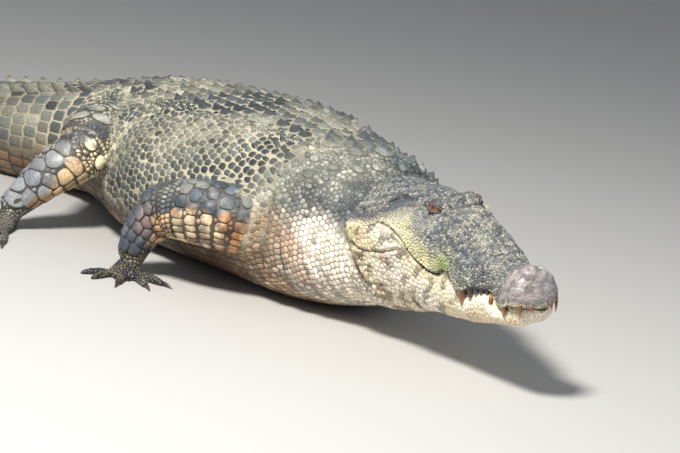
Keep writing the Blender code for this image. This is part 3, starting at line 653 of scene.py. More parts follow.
def tell_limb(told, index, out):
    """Notes the points that belong to one leg; out says how far outside the trunk each one lies."""
    limb, path, points = LIMBS[LIMB_NAMES[index]], LIMB_PATHS[LIMB_NAMES[index]], told["points"]
    near = np.nonzero(np.linalg.norm(points - limb["joints"][2], axis=1) < 0.62)[0]
    where, distance = nearest_on_path(points[near], path)
    tangent, level, up = limb_axes(path)
    t = where / PATH_STEPS * 4
    girth = along(list(enumerate([max(g) for g in limb["girths"]])), t)
    _, ground, _ = foot_plan(limb)
    foot = (points[near, 2] < 0.085) & (np.linalg.norm(points[near] * (1, 1, 0) - ground, axis=1) < 0.42)
    foot &= (t > 3.4) & (out[near] > 1.05)
    mine = (distance < girth * 1.45) & (out[near] > 1.045) & (t > 0.5) | foot
    chosen, where, t = near[mine], where[mine], t[mine]
    offset = points[chosen] - path[where]
    told["limb"][chosen] = index
    told["t"][chosen] = np.where(foot[mine], 4.2, t)
    told["phi"][chosen] = np.arctan2(dot(offset, up[where]), dot(offset, level[where]))
    told["foot"][chosen] = foot[mine]
    toward = unit((points[chosen] - ground) * (1, 1, 0))
    told["aft"][chosen] = np.where(foot[mine][:, None], toward, tangent[where])


def describe(points):
    """Body, head and limb coordinates of every point, and which of them it belongs to."""
    points = np.asarray(points, float)
    count = len(points)
    station = station_of(points)
    angle = angle_of(points, station)
    place, forward, left = spine_at(station)
    half, top, _, widest = section(station)
    across = dot(points - place, left) / np.maximum(half, 0.01)
    out = np.hypot(across, (points[:, 2] - widest) / np.maximum(top - widest, 0.01))
    head, reach = to_head(points), reach_of(station, angle)
    told = dict(
        points=points, station=station, angle=angle, head=head,
        reach=reach, round=reach / half_girth(station), aft=-forward,
        limb=np.full(count, -1), t=np.zeros(count), phi=np.zeros(count), foot=np.zeros(count, bool),
    )
    for index in range(len(LIMBS)):
        tell_limb(told, index, out)
    x, _, z = head.T
    rear = -0.058 + 0.62 * np.clip(0.012 - z, 0, 1) - 0.9 * np.clip(z - 0.10, 0, 0.03)
    told["is_head"] = (x > rear) & (station < 0.86) & (told["limb"] < 0)
    told["lip"] = z - along(CHEEK_LINE, x)
    told["is_jaw"] = told["is_head"] & (told["lip"] < 0)
    told["aft"][told["is_head"]] = unit(from_head([[-1, 0, 0]]) - from_head([[0, 0, 0]]))[0]
    return told


# -------- folds, lids, lips and nostrils
def near_line(x, z, line):
    """Distance in a plane to a broken line, and how far along it, 0 to 1."""
    best, share = np.full(len(x), 1e9), np.zeros(len(x))
    line = np.asarray(line, float)
    for i, (a, b) in enumerate(zip(line, line[1:])):
        way = b - a
        t = np.clip(((x - a[0]) * way[0] + (z - a[1]) * way[1]) / (way @ way), 0, 1)
        distance = np.hypot(x - a[0] - t * way[0], z - a[1] - t * way[1])
        closer = distance < best
        best[closer] = distance[closer]
        share[closer] = (i + t[closer]) / (len(line) - 1)
    return best, share


# Folds seen from the side, in the head's frame: points (x, z), depth, width.
HEAD_FOLDS = (
    (((-0.085, 0.070), (-0.062, 0.012), (-0.022, -0.040), (0.014, -0.080), (0.048, -0.150), (0.072, -0.235)),
     0.013, 0.010),
    (((-0.055, 0.008), (0.020, -0.012), (0.075, -0.008), (0.120, 0.004), (0.160, 0.020), (0.205, 0.037)),
     0.007, 0.005),
    (((0.085, 0.083), (0.111, 0.086), (0.153, 0.080), (0.188, 0.062), (0.209, 0.038)), 0.005, 0.0035),
    (((-0.020, -0.075), (0.030, -0.060), (0.085, -0.052)), 0.003, 0.006),
    (((0.030, -0.130), (0.075, -0.110), (0.120, -0.105)), 0.003, 0.006),
    (((0.196, 0.148), (0.178, 0.144), (0.148, 0.136), (0.118, 0.127)), 0.005, 0.004),
    (((0.165, 0.118), (0.195, 0.112), (0.230, 0.114), (0.262, 0.124)), 0.003, 0.005),
    (((0.150, 0.098), (0.190, 0.090), (0.235, 0.088)), 0.0025, 0.006),
    (((0.300, 0.075), (0.345, 0.050), (0.380, 0.030)), 0.003, 0.007),
)
EAR_SLIT = ((0.052, 0.141), (0.080, 0.150), (0.108, 0.153), (0.138, 0.148))
# Folds of the body: points (station, share of the way round from the back's middle), depth, width.
BODY_FOLDS = (
    (((1.045, 0.36), (1.030, 0.46), (1.030, 0.56), (1.045, 0.68)), 0.011, 0.016),
    (((0.965, 0.50), (0.955, 0.62), (0.975, 0.78)), 0.006, 0.014),
    (((0.890, 0.52), (0.880, 0.66), (0.895, 0.85)), 0.005, 0.013),
    (((0.825, 0.58), (0.815, 0.75), (0.825, 0.95)), 0.004, 0.012),
    (((1.46, 0.44), (1.50, 0.52), (1.49, 0.62)), 0.007, 0.016),
    (((1.56, 0.50), (1.60, 0.58), (1.59, 0.66)), 0.004, 0.016),
    (((1.93, 0.40), (1.87, 0.48), (1.84, 0.58)), 0.006, 0.018),
    (((2.02, 0.47), (1.96, 0.54), (1.93, 0.63)), 0.006, 0.016),
    (((1.60, 0.345), (1.75, 0.335), (1.90, 0.325)), 0.005, 0.018),
    (((1.30, 0.24), (1.45, 0.27), (1.65, 0.29), (1.90, 0.28), (2.10, 0.26)), 0.004, 0.016),
)


def tapered(share, start, end):
    """1 along a line, less in its first and last parts."""
    return ramp(share, 0.0, start) * ramp(-share, -1.0, -end)


def head_side(told):
    return ramp(np.abs(told["head"][:, 1]), 0.045, 0.075) * (told["station"] < 1.0)


def near_body_line(told, line):
    """Distance over the hide to one of the body's folds, and how far along it, 0 to 1."""
    metric = [(s, r * float(half_girth(s))) for s, r in line]
    return near_line(told["station"], told["round"] * half_girth(told["station"]), metric)


def fold_depths(told):
    """How far folds draw the hide in, as lengths along its normals."""
    x, y, z = told["head"].T
    inward, side = np.zeros(len(x)), head_side(told)
    for line, depth, width in HEAD_FOLDS:
        distance, share = near_line(x, z, line)
        fold = bump(distance, width) - 0.45 * bump(distance - width * 2.1, width)
        inward += side * tapered(share, 0.12, 0.88) * depth * fold
    return inward + side * ear_hollow(x, np.abs(y), z) + body_folds(told) + limb_creases(told)


def ear_oval(x, z):
    """1 on the edge of the ear's flap, less inside it."""
    a, b = (x - 0.076) * 0.92 + (z - 0.126) * 0.39, (z - 0.126) * 0.92 - (x - 0.076) * 0.39
    return np.hypot(a / 0.042, b / 0.017)


def ear_hollow(x, side, z):
    """The ear: a slit under the edge of the skull's flat top, over a smooth oval flap in a hollow."""
    on_wall = ramp(side, 0.066, 0.080) * ramp(-side, -0.150, -0.125)
    distance, share = near_line(x, z, EAR_SLIT)
    slit = 0.016 * bump(distance, 0.0042) * ramp(share, 0.0, 0.2) * ramp(-share, -1.0, -0.85)
    oval = ear_oval(x, z)
    hollow = 0.010 * ramp(-oval, -1.30, -0.95) - 0.009 * np.clip(1 - oval**2, 0, 1)
    rim = -0.003 * bump(oval - 1.35, 0.16)
    return on_wall * (slit + hollow + rim)


def body_folds(told):
    """Creases of the neck and flanks and where the legs join."""
    inward, body = np.zeros(len(told["station"])), on_body(told)
    for line, depth, width in BODY_FOLDS:
        distance, share = near_body_line(told, line)
        fold = bump(distance, width) - 0.4 * bump(distance - width * 2, width)
        inward += body * tapered(share, 0.2, 0.8) * depth * fold
    return inward


# Creases round a leg: place along it, depth.
LIMB_CREASES = (
    (0.95, 0.004), (1.18, 0.003), (1.72, 0.004), (1.90, 0.005), (2.08, 0.005), (2.26, 0.003), (3.82, 0.003),
)


def limb_creases(told):
    """Rings of loose hide where a leg bends and where it leaves the trunk."""
    on_limb = (told["limb"] >= 0) & ~told["foot"]
    inward = np.zeros(len(on_limb))
    for t, depth in LIMB_CREASES:
        away = told["t"] - t
        inward += on_limb * depth * (bump(away, 0.035) - 0.4 * bump(np.abs(away) - 0.08, 0.04))
    return inward


def head_relief(told):
    """The uneven bone and hide of the head: swellings over the teeth, ridges and pits of the muzzle."""
    x, y, z = told["head"].T
    on_head = told["is_head"] * ramp(x, -0.05, 0.02)
    upper = on_head * (told["lip"] > 0)
    lip = np.clip(told["lip"], 0, 1)
    large_teeth = bump(x - 0.405, 0.040) + 0.7 * bump(x - 0.600, 0.030)
    outward = upper * 0.006 * bump(lip - 0.020, 0.020) * large_teeth
    outward -= upper * 0.005 * bump(lip - 0.018, 0.018) * bump(x - 0.512, 0.018)
    outward += upper * 0.0022 * field(told["head"], 0.034, 3) * ramp(x, 0.10, 0.26)
    outward += on_head * 0.0012 * field(told["head"], 0.018, 4)
    outward += told["is_jaw"] * 0.0022 * field(told["head"] * (1, 1, 0.5), 0.045, 5)
    side = np.abs(y)
    furrows = field(told["head"] * (0.30, 1.0, 1.0), 0.013, 6) * ramp(x, 0.24, 0.30) * ramp(-x, -0.58, -0.52)
    outward += upper * 0.0026 * furrows * ramp(z, 0.03, 0.06)
    distance, share = near_line(x, side, ((0.258, 0.072), (0.295, 0.063), (0.328, 0.050), (0.350, 0.040)))
    crease = bump(distance, 0.0045) * ramp(-share, -1.0, -0.7) * (z > 0.07)
    bank = 0.6 * bump(distance - 0.011, 0.006) * ramp(-share, -1.0, -0.7) * (z > 0.07)
    outward -= upper * 0.006 * (crease - bank)
    horn = bump(x - 0.235, 0.006) + 0.8 * bump(x - 0.214, 0.006) + 0.6 * bump(x - 0.190, 0.007)
    return outward + upper * 0.006 * horn * bump(side - 0.064, 0.006) * (z > 0.14)


def nostril_pits(told):
    """The nasal disc's rim and its two slits."""
    x, y, z = told["head"].T
    top = (z > 0.05) * told["is_head"]
    away = np.hypot(x - 0.618, y * 0.95)
    outward = top * 0.0030 * (bump(away - 0.030, 0.009) - 0.8 * bump(away - 0.042, 0.006))
    side = np.abs(y)
    along_slit = (x - 0.622) * 0.86 + (side - 0.016) * 0.5
    over_slit = -(x - 0.622) * 0.5 + (side - 0.016) * 0.86
    pit = bump(along_slit, 0.0085) * bump(over_slit - along_slit**2 * 22, 0.0030)
    outward = outward - top * 0.0085 * pit
    return outward + top * 0.002 * bump(over_slit - 0.008, 0.004) * bump(along_slit, 0.012)


EYES = {}
for word, side in (("right", -1), ("left", 1)):
    gaze = unit(np.array([0.36, side * 0.82, 0.42]))
    slit = np.array([1.0, 0.0, -0.06])
    slit = unit(slit - gaze * (slit @ gaze))
    brow = np.cross(gaze, slit) * side
    axes = np.stack([slit, brow * np.sign(brow[2]), gaze]) @ (HEAD[:3, :3] / HEAD_SIZE).T
    EYES[word] = dict(side=side, centre=from_head(EYE_PLACE * (1, side, 1)), axes=axes, radius=EYE_RADIUS)


# The opening between the lids is a lens in degrees round the gaze: half its length, rise above, drop below.
LENS = (66.0, 9.0, 18.0)


def lens_depth(across, height):
    """How far inside the lens-shaped opening a direction lies, in degrees; less than nothing outside it."""
    reach, rise, drop = LENS
    above, below = (reach**2 + rise**2) / (2 * rise), (reach**2 + drop**2) / (2 * drop)
    under_top = above - np.hypot(across, height + above - rise)
    over_floor = below - np.hypot(across, height - below + drop)
    return np.minimum(under_top, over_floor)


def lid_profile(inside, up, radius):
    """Distance of the hide from the eyeball's centre: behind the ball in the opening, over it elsewhere."""
    lid = radius + 0.0036 + 0.0006 * bump(inside + 5, 4)
    lid -= up * 0.0016 * bump(inside + 15, 4) - up * 0.0010 * bump(inside + 24, 5)
    lid -= (1 - up) * 0.0012 * (bump(inside + 13, 3) + 0.8 * bump(inside + 21, 3))
    return lid - 0.0090 * ramp(inside, -2.0, 1.6)


def wrap_lids(points, eye):
    """Draws the hide over the eyeball as two lids, and sinks it behind the ball between them."""
    radius = eye["radius"]
    offset = (points - eye["centre"]) @ eye["axes"].T
    distance = np.linalg.norm(offset, axis=1)
    close = np.nonzero(distance < radius * 1.9)[0]
    way = unit(offset[close])
    off_gaze = np.degrees(np.arccos(np.clip(way[:, 2], -1, 1)))
    round_gaze = unit(way[:, :2])
    across, height = off_gaze * round_gaze[:, 0], off_gaze * round_gaze[:, 1]
    inside = lens_depth(across, height)
    target = lid_profile(inside, ramp(height, -6, 6), radius)
    hold = ramp(inside, -40, -16) * ramp(-distance[close], -radius * 1.85, -radius * 1.5)
    hold *= ramp(-off_gaze, -100, -80)
    new = distance[close] * (1 - hold) + target * hold
    points = points.copy()
    points[close] = eye["centre"] + (way * new[:, None]) @ eye["axes"]
    return points


def refine(hide, chosen, cuts):
    """Splits the chosen faces' edges into smaller ones."""
    bm = bmesh.new()
    bm.from_mesh(hide.data)
    bm.verts.ensure_lookup_table()
    verts = [bm.verts[i] for i in np.nonzero(chosen)[0].tolist()]
    edges = {edge for vert in verts for edge in vert.link_edges if chosen[edge.other_vert(vert).index]}
    edges = sorted(edges, key=lambda edge: edge.index)
    bmesh.ops.subdivide_edges(bm, edges=edges, cuts=cuts, use_grid_fill=True, smooth=0.0)
    bmesh.ops.triangulate(bm, faces=[f for f in bm.faces if len(f.verts) > 4])
    bm.to_mesh(hide.data)
    bm.free()


def soften_weights(told):
    """How strongly the first smoothing acts: most where legs and head grow out of the trunk."""
    points = told["points"]
    weight = np.zeros(len(points))
    for limb in LIMBS.values():
        root = (limb["joints"][0] + limb["joints"][1]) / 2
        weight = np.maximum(weight, bump(np.linalg.norm(points - root, axis=1), 0.26))
        for joint, reach in ((2, 0.11), (4, 0.07)):
            distance = np.linalg.norm(points - limb["joints"][joint], axis=1)
            weight = np.maximum(weight, 0.55 * bump(distance, reach))
    x = told["head"][:, 0]
    neck = bump(x + 0.13, 0.10) * (told["station"] < 1.1)
    return np.maximum(weight, neck * 0.9)


def shape_hide(hide):
    points = read_points(hide.data)
    edges = read_edges(hide.data)
    told = describe(points)
    points = relaxed(points, edges, soften_weights(told) * 0.6, 45)
    points = relaxed(points, edges, np.where(told["is_head"] | told["foot"], 0.25, 0.5), 3)
    points[:, 2] = np.maximum(points[:, 2], FLOOR_CLEAR)
    write_points(hide.data, points)

    told = describe(points)
    x = told["head"][:, 0]
    lips = told["is_head"] & (np.abs(told["head"][:, 2] - along(LIP_LINE, x)) < 0.012) & (x > 0.08)
    nose = told["is_head"] & (x > 0.57) & (told["head"][:, 2] > 0.04)
    ear = told["is_head"] & (np.abs(x - 0.07) < 0.085) & (np.abs(told["head"][:, 2] - 0.130) < 0.034)
    refine(hide, lips | nose | ear, 1)
    points = read_points(hide.data)
    near_eye = np.zeros(len(points), bool)
    for eye in EYES.values():
        near_eye |= np.linalg.norm(points - eye["centre"], axis=1) < eye["radius"] * 1.75
    refine(hide, near_eye, 3)

    points, normals = read_points(hide.data), read_normals(hide.data)
    told = describe(points)
    outward = head_relief(told) + nostril_pits(told) - fold_depths(told)
    x, y, z = told["head"].T
    groove = bump(z - along(LIP_LINE, x), 0.0034) * ramp(x, 0.200, 0.215) * told["is_head"]
    outward -= groove * 0.0105 * (np.abs(y) > 0.02)
    points = points + normals * outward[:, None]
    points = relaxed(points, read_edges(hide.data), np.full(len(points), 0.25), 1)
    for eye in EYES.values():
        points = wrap_lids(points, eye)
    points[:, 2] = np.maximum(points[:, 2], FLOOR_CLEAR)
    write_points(hide.data, points)


HIDE_TRIANGLES = 190000


def thin_hide(hide):
    """Fewer, larger triangles where the hide is plain and scales cover it."""
    points = read_points(hide.data)
    told = describe(points)
    share = np.where(told["is_head"], 0.30, 1.0)
    share[told["foot"]] = 0.6
    for eye in EYES.values():
        share[np.linalg.norm(points - eye["centre"], axis=1) < eye["radius"] * 1.6] = 0.02
    group = hide.vertex_groups.new(name="thin")
    for value in np.unique(share):
        group.add(np.nonzero(share == value)[0].tolist(), float(value), "REPLACE")
    hide.data.calc_loop_triangles()
    step = hide.modifiers.new("Thin", "DECIMATE")
    step.ratio = HIDE_TRIANGLES / len(hide.data.loop_triangles)
    step.vertex_group = "thin"
    step.vertex_group_factor = 1.0
    take_modifiers(hide)
    hide.vertex_groups.clear()
    hide.data.shade_smooth()


def make_hide():
    hide = grow_flesh()
    shape_hide(hide)
    thin_hide(hide)
    return hide


# -------- camera, floor and light
CAMERA_PLACE = (6.294, -4.403, 1.770)
CAMERA_RIGHT, CAMERA_UP = (0.58278, 0.80143, 0.13417), (-0.24942, 0.01929, 0.96812)
CAMERA_LENS = 119.9
KEY_PLACE, FILL_PLACE = (2.4, -3.4, 5.0), (4.5, 3.0, 3.0)
FLOOR_COLOUR, SKY_COLOUR = (0.44, 0.435, 0.42, 1), (0.80, 0.86, 0.95, 1)


def make_camera():
    data = bpy.data.cameras.new("camera")
    data.sensor_width, data.lens, data.clip_end = 36, CAMERA_LENS, 60
    camera = new_object("camera", data)
    right, up = Vector(CAMERA_RIGHT), Vector(CAMERA_UP)
    turn = Matrix((right, up, right.cross(up))).transposed().to_4x4()
    camera.matrix_world = Matrix.Translation(CAMERA_PLACE) @ turn
    bpy.context.scene.camera = camera


def make_light(name, place, target, energy, size, colour):
    data = bpy.data.lights.new(name, "AREA")
    data.energy, data.size, data.color = energy, size, colour
    light = new_object(name, data)
    light.location = place
    light.rotation_euler = (Vector(target) - Vector(place)).to_track_quat("-Z", "Y").to_euler()


def make_studio():
    bpy.ops.mesh.primitive_plane_add(size=60)
    floor = bpy.context.object
    floor.name = "floor"
    paint = bpy.data.materials.new("pale floor")
    paint.use_nodes = True
    shader = paint.node_tree.nodes["Principled BSDF"]
    shader.inputs["Base Color"].default_value = FLOOR_COLOUR
    shader.inputs["Roughness"].default_value = 0.8
    floor.data.materials.append(paint)
    world = bpy.data.worlds.new("studio")
    world.use_nodes = True
    sky = world.node_tree.nodes["Background"]
    sky.inputs["Color"].default_value, sky.inputs["Strength"].default_value = SKY_COLOUR, 0.34
    bpy.context.scene.world = world
    make_light("key", KEY_PLACE, (0, 0, 0.2), 690, 1.1, (1.0, 0.97, 0.92))
    make_light("fill", FILL_PLACE, (0.4, 0, 0.2), 50, 3.0, (0.9, 0.95, 1.0))
    bpy.context.scene.view_settings.view_transform = "Standard"


# -------- markings and painted shade, in linear colours
MUD, DRY_MUD, HEAD_MUD = (0.31, 0.305, 0.245), (0.42, 0.405, 0.31), (0.30, 0.285, 0.225)
# the foot's mud colour here is darkened as painted shade
THIGH_MUD, SHADED_FOOT_MUD, GREY = (0.36, 0.35, 0.28), (0.14, 0.125, 0.09), (0.080, 0.092, 0.100)
SLATE, HEAD_SLATE, LEG_SLATE = (0.020, 0.028, 0.044), (0.095, 0.108, 0.125), (0.060, 0.075, 0.100)
CROWN_SLATE, EAR_SLATE, INK = (0.07, 0.08, 0.09), (0.058, 0.070, 0.086), (0.035, 0.042, 0.060)
# the middle colour here is painted shade for the crease round each eye
TEMPLE, SOCKET_SHADE, NOSE_STAIN = (0.055, 0.052, 0.072), (0.05, 0.05, 0.06), (0.06, 0.05, 0.065)
# the foot's grey here is darkened as painted shade
LID, SHADED_FOOT_GREY, SHANK_GREY = (0.080, 0.062, 0.066), (0.050, 0.050, 0.048), (0.25, 0.26, 0.27)
# the middle colour here is near black: dark spots on the jaw and hind legs, and painted shade in the ear's
# hollow and along the mouth
PURPLE, BLACK_SPOTS_AND_SHADE, FLECK = (0.33, 0.285, 0.285), (0.012, 0.012, 0.013), (0.44, 0.43, 0.36)
CREAM, WHITE, CHEEK = (0.78, 0.67, 0.45), (0.88, 0.80, 0.67), (0.50, 0.46, 0.37)
UNDER_EYE, YELLOW_GREEN = (0.50, 0.475, 0.42), (0.68, 0.64, 0.34)
ALGAE, OLIVE = (0.13, 0.24, 0.025), (0.36, 0.31, 0.15)
TAN, CLAY, EARTH, SOIL = (0.24, 0.18, 0.11), (0.40, 0.27, 0.17), (0.32, 0.22, 0.14), (0.10, 0.07, 0.05)
LEG_SOIL, LEG_BROWN, ELBOW = (0.10, 0.07, 0.055), (0.46, 0.27, 0.14), (0.34, 0.22, 0.18)
# the first colour here is brown mud, darkened further as painted shade under the body
LOW_FLANK_MUD_AND_SHADE, LEG_SHADE, LIVER = (0.07, 0.05, 0.04), (0.10, 0.055, 0.03), (0.20, 0.11, 0.085)
RUST, ORANGE, PINK, SCAR = (0.34, 0.12, 0.04), (0.52, 0.24, 0.06), (0.52, 0.30, 0.22), (0.10, 0.045, 0.035)
# painted shade, laid along the folds' creases and the ear's slit
FOLD_SHADE = (0.05, 0.042, 0.036)


def plain(points, colour):
    return np.broadcast_to(colour, points.shape)


def layered(colour, *layers):
    """Other colours laid over the present ones in turn, each by its share."""
    for over, share in layers:
        colour = colour + (np.asarray(over, float) - colour) * np.clip(share, 0, 1)[:, None]
    return colour


# The throat's upper edge: station, share of the way round.
THROAT_EDGE = ((0.70, 0.36), (0.85, 0.36), (0.98, 0.44), (1.12, 0.55))


def body_colours(told):
    points, s, share = told["points"], told["station"], told["round"]
    broad, fine = field(points, 0.16, 21), field(points, 0.045, 22)
    low = ramp(share + 0.05 * broad, 0.50, 0.66)
    under = ramp(share + 0.05 * broad - along(THROAT_EDGE, s), 0.0, 0.10)
    throat = ramp(-s - 0.05 * broad, -1.03, -0.87) * under
    streaks = ramp(fine + 0.5 * bump(share - 0.58, 0.10), 0.0, 0.7)
    tail, bands = ramp(s, 2.8, 3.2), ramp(np.sin(s * 15.0) + 0.7 * broad, 0.1, 0.8)
    return layered(
        plain(points, GREY),
        (MUD, 0.42 + 0.35 * broad + 0.25 * fine),
        (SLATE, ramp(fine - 0.6 * broad, 0.15, 0.8) * 0.7 * ramp(-share, -0.52, -0.38)),
        (DRY_MUD, ramp(s, 1.75, 2.1) * ramp(-s, -3.3, -2.9) * (0.30 + 0.5 * fine)),
        (TAN, low * 0.7),
        (RUST, low * ramp(fine, 0.0, 0.7) * 0.55),
        # the lower flanks darker: brown mud, and painted shade under the body
        (LOW_FLANK_MUD_AND_SHADE, low * (0.35 + ramp(-broad - 0.5 * fine, 0.1, 0.7) * 0.4)),
        (CREAM, ramp(share + 0.03 * fine, 0.80, 0.94) * 0.7),
        (CLAY, bump(s - 1.04, 0.13) * ramp(share, 0.40, 0.50) * 0.80),
        (WHITE, throat * 0.9),
        (EARTH, bump(s - 1.03, 0.08) * ramp(share, 0.42, 0.50) * ramp(-share, -0.80, -0.62) * 0.6),
        (RUST, throat * streaks * 0.7 * ramp(s, 0.82, 0.95)),
        (SOIL, throat * ramp(-fine, 0.15, 0.7) * 0.65 * ramp(s, 0.86, 0.98)),
        (GREY, bump(s - 2.45, 0.22) * ramp(-share, -0.50, -0.40) * 0.35),
        (GREY, tail * 0.5),
        (SLATE, ramp(s, 2.75, 3.3) * bands * 0.65 * ramp(-share, -0.8, -0.5)),
        (TAN, tail * (1 - bands) * 0.35),
    )


def face_colours(told, broad, fine):
    """The head above its lips."""
    points, lip = told["points"], told["lip"]
    x, _, z = told["head"].T
    speck = field(points, 0.0075, 36)
    green = bump(x - 0.245, 0.105) * ramp(-lip, -0.066 - 0.15 * np.clip(x - 0.12, 0, 0.3), -0.018)
    mottle = ramp(field(points, 0.016, 37), 0.0, 0.6) * ramp(x, 0.55, 0.60) * ramp(lip, 0.02, 0.05)
    return layered(
        plain(points, HEAD_MUD),
        (HEAD_SLATE, 0.68 + 0.30 * fine + 0.25 * broad),
        (CROWN_SLATE, ramp(-x, -0.30, -0.18) * ramp(z, 0.125, 0.15) * 0.30),
        (FLECK, ramp(speck, 0.20, 0.7) * 0.42),
        (INK, ramp(-speck, 0.20, 0.8) * 0.65),
        (TEMPLE, bump(x - 0.02, 0.10) * bump(lip - 0.026, 0.022) * 0.85),
        (CHEEK, bump(x - 0.185, 0.045) * bump(lip - 0.020, 0.018) * 0.7),
        (UNDER_EYE, bump(x - 0.175, 0.085) * bump(z - 0.112, 0.030) * 0.32),
        (YELLOW_GREEN, green * (0.85 + 0.3 * fine)),
        (CREAM, ramp(-lip, -0.030, -0.004) * (0.55 + 0.4 * broad) * ramp(-x, -0.50, -0.30)),
        (ALGAE, bump(x - 0.345, 0.022) * bump(lip - 0.022, 0.018) * 0.8),
        (CREAM, ramp(-lip, -0.022, -0.004) * ramp(x, 0.50, 0.56) * 0.6),
        (PURPLE, ramp(x, 0.545, 0.60) * (0.80 + 0.3 * fine) * ramp(lip, 0.012, 0.035)),
        (NOSE_STAIN, mottle * 0.5),
        # painted shade: the ear's hollow darkened round its flap
        (BLACK_SPOTS_AND_SHADE, bump(x - 0.065, 0.055) * bump(z - 0.128, 0.014) * 0.55),
        (EAR_SLATE, on_ear(told) * 0.92),
    )


def jaw_colours(told, broad, fine):
    points = told["points"]
    x, _, z = told["head"].T
    blotch = ramp(field(points, 0.030, 33) - 0.1, 0.25, 0.7) * ramp(-z, -0.02, 0.04) * ramp(-x, -0.30, -0.10)
    return layered(
        plain(points, CREAM),
        (WHITE, 0.55 + 0.5 * broad),
        (OLIVE, ramp(-x, -0.10, 0.02) * 0.75 + 0.25 * fine),
        (YELLOW_GREEN, bump(x - 0.03, 0.09) * bump(z - 0.010, 0.05) * 0.4),
        (LIVER, blotch * 0.75),
        (PINK, ramp(field(points, 0.05, 34), 0.2, 0.8) * ramp(-x, -0.24, -0.02) * 0.35),
        (SCAR, bump(x - 0.207 - 0.28 * (z + 0.14), 0.010) * bump(z + 0.142, 0.034) * 0.98),
        (BLACK_SPOTS_AND_SHADE, ramp(fine, 0.62, 0.8) * 0.5 * ramp(-x, -0.52, -0.35)),
        (ORANGE, ramp(x, 0.34, 0.45) * ramp(field(points, 0.04, 35), 0.1, 0.9) * 0.35),
    )


def head_colours(told):
    points, x, lip = told["points"], told["head"][:, 0], told["lip"]
    broad, fine = field(points, 0.07, 31), field(points, 0.022, 32)
    face = face_colours(told, broad, fine)
    for eye in EYES.values():
        away = np.linalg.norm(points - eye["centre"], axis=1) / eye["radius"]
        # the lids' own reddish rim, then a thin ring of painted shade in the crease round the eye
        face = layered(face, (LID, ramp(-away, -1.28, -1.10) * 0.75), (SOCKET_SHADE, bump(away - 1.72, 0.09) * 0.6))
    # painted shade: a dark line along the mouth's groove, strongest forward of the mouth's corner
    lips = bump(lip, 0.0040) * ramp(x, 0.195, 0.215) + 0.6 * bump(lip, 0.0030) * ramp(x, 0.04, 0.08)
    colour = np.where(told["is_jaw"][:, None], jaw_colours(told, broad, fine), face)
    return layered(colour, (BLACK_SPOTS_AND_SHADE, lips * 0.9))


# How high the pale underside reaches, from -1 to 1, along a hind leg and along an arm.
HIND_EDGE = ((1.2, -0.5), (1.7, 0.2), (1.95, 0.85), (2.25, 0.65), (2.6, 0.10), (3.0, -0.15), (3.8, -0.3))
FORE_EDGE = ((0.9, 0.30), (1.5, 0.12), (2.0, -0.2), (2.6, -0.45))


def limb_colours(told):
    points, t, high = told["points"], told["t"], np.sin(told["phi"])
    broad, fine = field(points, 0.09, 41), field(points, 0.028, 42)
    hind = np.isin(told["limb"], [i for i, name in enumerate(LIMBS) if "hind" in name])
    dark = layered(
        plain(points, LEG_SLATE),
        (GREY, 0.30 + 0.4 * broad),
        (SHANK_GREY, hind * ramp(t, 1.9, 2.2) * (0.80 + 0.3 * broad)),
        (MUD, ramp(fine + broad, 0.0, 1.1) * 0.55 * ramp(high, 0.1, 0.8)),
        (THIGH_MUD, hind * ramp(-t, -1.75, -1.45) * (0.55 + 0.5 * fine)),
    )
    pale = layered(
        plain(points, CREAM),
        (LEG_BROWN, 0.65 * ~hind + 0.3 * broad),
        (ORANGE, 0.15 * ~hind + 0.35 * broad + 0.6 * ramp(t, 2.5, 3.3) * hind),
        (RUST, ramp(fine, 0.0, 0.7) * 0.65 * ~hind),
        (LEG_SOIL, ramp(field(points, 0.020, 44), 0.2, 0.6) * 0.65 * ~hind),
        (LEG_SHADE, ramp(t, 2.6, 3.6) * 0.55 + 0.4 * ramp(fine, 0.1, 0.7)),
    )
    edge = np.where(hind, along(HIND_EDGE, t), along(FORE_EDGE, t))
    spots = ramp(field(points, 0.011, 43), 0.25, 0.45) * ramp(high, 0.0, 0.35) * bump(t - 2.1, 0.25) * hind
    leg = layered(
        dark,
        (pale, ramp(edge - high + 0.14 * fine, -0.07, 0.07)),
        (BLACK_SPOTS_AND_SHADE, spots * 0.95),
        (ELBOW, bump(t - 2.45, 0.40) * bump(high + 0.1, 0.45) * 0.7 * ~hind),
    )
    # the feet: dark grey hide and mud, made darker as painted shade
    foot = layered(
        plain(points, SHADED_FOOT_GREY), (SHADED_FOOT_MUD, 0.4 + 0.5 * fine), (MUD, ramp(broad, 0.1, 0.7) * 0.35))
    return np.where(told["foot"][:, None], foot, leg)


def painted_fold_shade(told):
    """Painted shade along the deeper folds of the head, neck and flanks, and in the ear's slit."""
    x, y, z = told["head"].T
    distance, where = near_line(x, z, EAR_SLIT)
    share = bump(distance, 0.0045) * ramp(-where, -1.0, -0.85) * (np.abs(y) > 0.066) * told["is_head"]
    for line, _, width in HEAD_FOLDS[:5]:
        distance, where = near_line(x, z, line)
        share = np.maximum(share, bump(distance, width * 0.55) * tapered(where, 0.10, 0.85) * head_side(told))
    for line, depth, width in BODY_FOLDS:
        distance, where = near_body_line(told, line)
        mark = on_body(told) * tapered(where, 0.2, 0.8) * bump(distance, width * 0.5)
        share = np.maximum(share, mark * depth / 0.009)
    return np.clip(share, 0, 1) * 0.75


